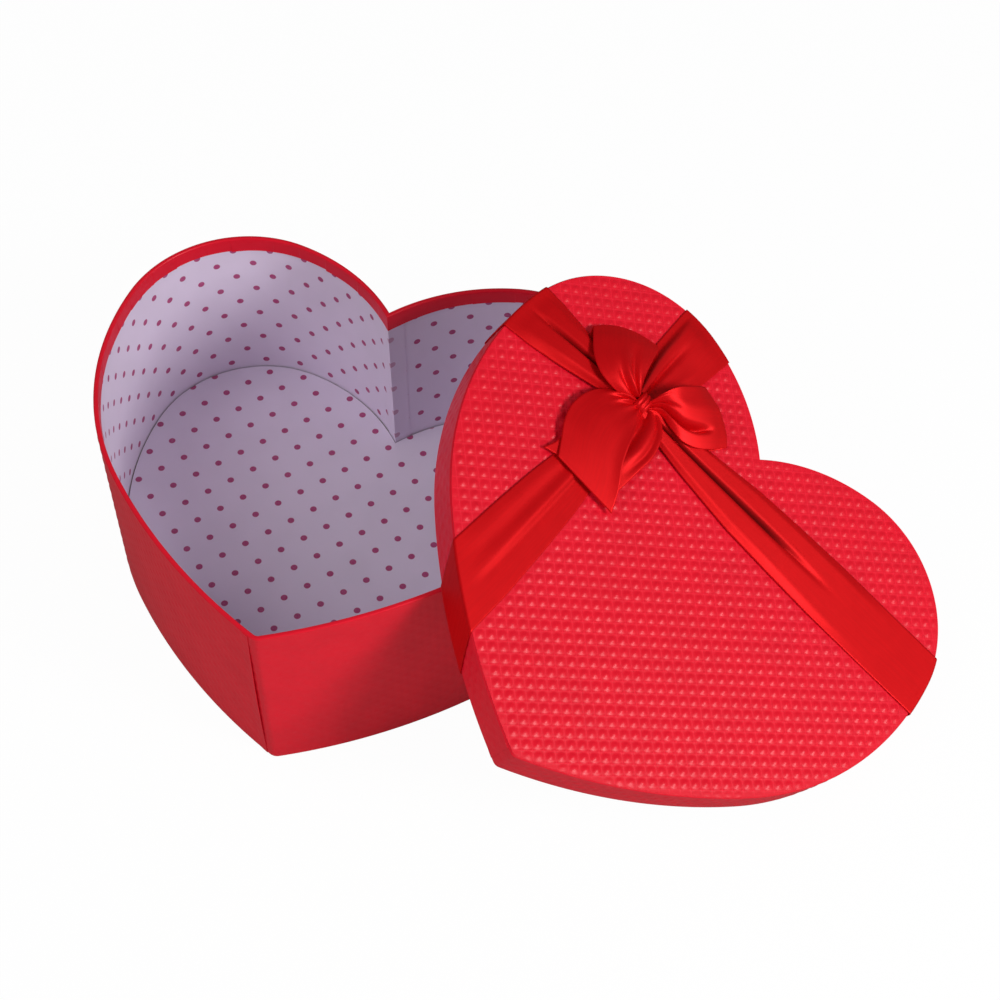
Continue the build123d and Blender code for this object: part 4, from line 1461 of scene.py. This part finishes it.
class HEARTBOX_OT_bow(Operator):
    """Tie the bow: two loops, two tails and the knot"""

    bl_idname = "heartbox.bow"
    bl_label = "Bow"

    def execute(self, context):
        settings = context.scene.heart_box
        ribbon = settings.ribbon
        frame_of_lid = LidFrame(settings)

        def place(points):
            return frame_of_lid.place(points * mm + np.array([*ribbon.knot, 0.0]))

        pieces = (
            ("bow_left_loop", self.loop(LEFT_LOOP, left_loop_folds), (ribbon.width, 0.084), "folded"),
            ("bow_right_loop", self.loop(RIGHT_LOOP, right_loop_folds), (ribbon.width, 0.084), "folded"),
            ("bow_back_tail", self.tail(BACK_TAIL, back_tail_folds), (ribbon.width, 0.066), "draped"),
            ("bow_front_tail", self.tail(FRONT_TAIL, front_tail_folds), (ribbon.width, 0.07), "draped"),
            ("bow_knot", self.knot(), (0.01, 0.02), "folded"),
        )
        for node, (points, flat), cut, held in pieces:
            piece = satin_piece(f"{node}_satin", place(points), flat * mm, ribbon)
            fit(piece, "lid", "satin_ribbon", node)
        return {"FINISHED"}

    def loop(self, plan, folds):
        """Ribbon from the knot over the loop's crown, round its fold and back underneath."""
        t, u = spans(110, 45)
        stretch = (40.0, 1.0)
        side = smooth_line(np.array(plan["side"]) * stretch, t[:, 0]) / stretch
        reach = np.clip(side[:, :1], 0.0, 1.0)
        upper_layer = within(t, 0.48, 0.6)
        flat = grid_between(plan["lower"], plan["upper"], reach[:, 0], u)
        outward = unit(flat[len(t) // 2, u.shape[1] // 2])
        flat = flat + outward * (plan["bulge"] * (1 - u**2) * reach**2)[..., None]
        crown = 1 + (plan["tilt"] * u - plan["droop"] * u**2) * upper_layer
        height = side[:, 1:] * crown + (folds(u, reach) + gathers(u, reach, 0.5)) * upper_layer
        return with_height(flat, height), weave_places(t, u, LOOP_WEAVE)

    def tail(self, plan, folds):
        """Ribbon from under the knot to its cut end."""
        t, u = spans(70, 45)
        points = grid_between(plan["left"], plan["right"], t[:, 0], u)
        points[..., 2] += folds(u, t) + gathers(u, t, 0.45)
        return points, weave_places(t, u, TAIL_WEAVE)

    def knot(self):
        """Short pleated strap over the middle of the bow."""
        t, u = spans(40, 25)
        side = smooth_line(KNOT_SIDE, t[:, 0])
        half = 3.0 + 0.7 * np.sin(math.pi * t)
        pleats = 0.35 * np.cos(3 * math.pi * u) - 0.9 * u**2
        height = side[:, 1:] + pleats * np.sin(math.pi * t) ** 0.5
        across = 1.0 + u * half + 0.4 * np.sin(math.pi * t)
        depth = np.broadcast_to(side[:, :1], height.shape) + 0.25 * np.cos(3 * math.pi * u)
        points = np.stack([across, depth, height], -1)
        return points, weave_places(t, u, KNOT_WEAVE)


def left_loop_folds(u, reach):
    """Valleys out from the knot, the longest above the middle."""
    long_valley = -2.6 * ridge(u, 0.32, 0.14, 0.16) * within(reach, 0.3, 0.85)
    short_valley = -2.2 * ridge(u, -0.25, 0.14, 0.14) * within(reach, 0.25, 0.6)
    return long_valley + short_valley + 0.8 * ridge(u, 0.0, 0.15, 0.15) * within(reach, 0.4, 0.8)


def right_loop_folds(u, reach):
    """A deep narrow valley from the knot almost to the fold, below the middle."""
    valley = -6.0 * ridge(u, -0.34, 0.1, 0.12) * within(np.abs(reach - 0.45), 0.15, 0.42)
    short = -1.6 * ridge(u, 0.12, 0.08, 0.08) * within(reach, 0.2, 0.5)
    return valley + ridge(u, 0.3, 0.25, 0.3) + short


def front_tail_folds(u, t):
    """Short gathers behind the knot, a low rise down the middle and a hollow beside it."""
    rise = np.sin(math.pi * np.clip(t * 1.05, 0.0, 1.0))
    pleats = 1.7 * (ridge(u, -0.78, 0.12, 0.12) + ridge(u, -0.38, 0.14, 0.1)) * within(t, 0.1, 0.36)
    pleats -= 1.2 * (ridge(u, -0.58, 0.1, 0.1) + ridge(u, -0.12, 0.12, 0.12)) * within(t, 0.08, 0.3)
    return (0.6 * ridge(u, -0.2, 0.5, 0.5) - 0.5 * ridge(u, 0.75, 0.25, 0.25)) * rise + pleats


def back_tail_folds(u, t):
    """Two pleats down from the knot, towards the right edge."""
    pleats = 0.9 * ridge(u, 0.62, 0.14, 0.12)
    pleats -= 2.2 * ridge(u, 0.3, 0.1, 0.14) + 1.2 * ridge(u, 0.82, 0.07, 0.07)
    return pleats * within(np.abs(t - 0.4), 0.15, 0.5)


class HEARTBOX_PT_pieces(Panel):
    """Lists what can be made, in the order in which it is made"""

    bl_idname = "HEARTBOX_PT_pieces"
    bl_label = "Heart Gift Box"
    bl_space_type = "VIEW_3D"
    bl_region_type = "UI"
    bl_category = "Heart Box"

    def draw(self, context):
        column = self.layout.column(align=True)
        for operator in OPERATORS:
            column.operator(operator.bl_idname)
        settings = context.scene.heart_box
        for group in (settings.relief, settings.ribbon, settings.finish):
            box = self.layout.box()
            for name in group.__annotations__:
                box.prop(group, name)


OPERATORS = (
    HEARTBOX_OT_studio,
    HEARTBOX_OT_box_paper,
    HEARTBOX_OT_lining,
    HEARTBOX_OT_boards,
    HEARTBOX_OT_lid_paper,
    HEARTBOX_OT_ribbons,
    HEARTBOX_OT_bow,
)
CLASSES = (
    HeartOutline,
    PaperLayers,
    LidPlace,
    WaffleRelief,
    RibbonCut,
    Finishes,
    StudioSettings,
    HeartBoxSettings,
    *OPERATORS,
    HEARTBOX_PT_pieces,
)


def register():
    """Registers the classes and hangs the settings on the scene."""
    for cls in CLASSES:
        bpy.utils.register_class(cls)
    bpy.types.Scene.heart_box = PointerProperty(type=HeartBoxSettings)


def unregister():
    """Takes the settings and classes away again."""
    del bpy.types.Scene.heart_box
    for cls in reversed(CLASSES):
        bpy.utils.unregister_class(cls)


def main():
    """Builds the whole box."""
    register()
    bpy.ops.heartbox.studio()
    bpy.ops.heartbox.box_paper()
    bpy.ops.heartbox.lining()
    bpy.ops.heartbox.boards()
    bpy.ops.heartbox.lid_paper()
    bpy.ops.heartbox.ribbons()
    bpy.ops.heartbox.bow()


if __name__ == "__main__":
    main()
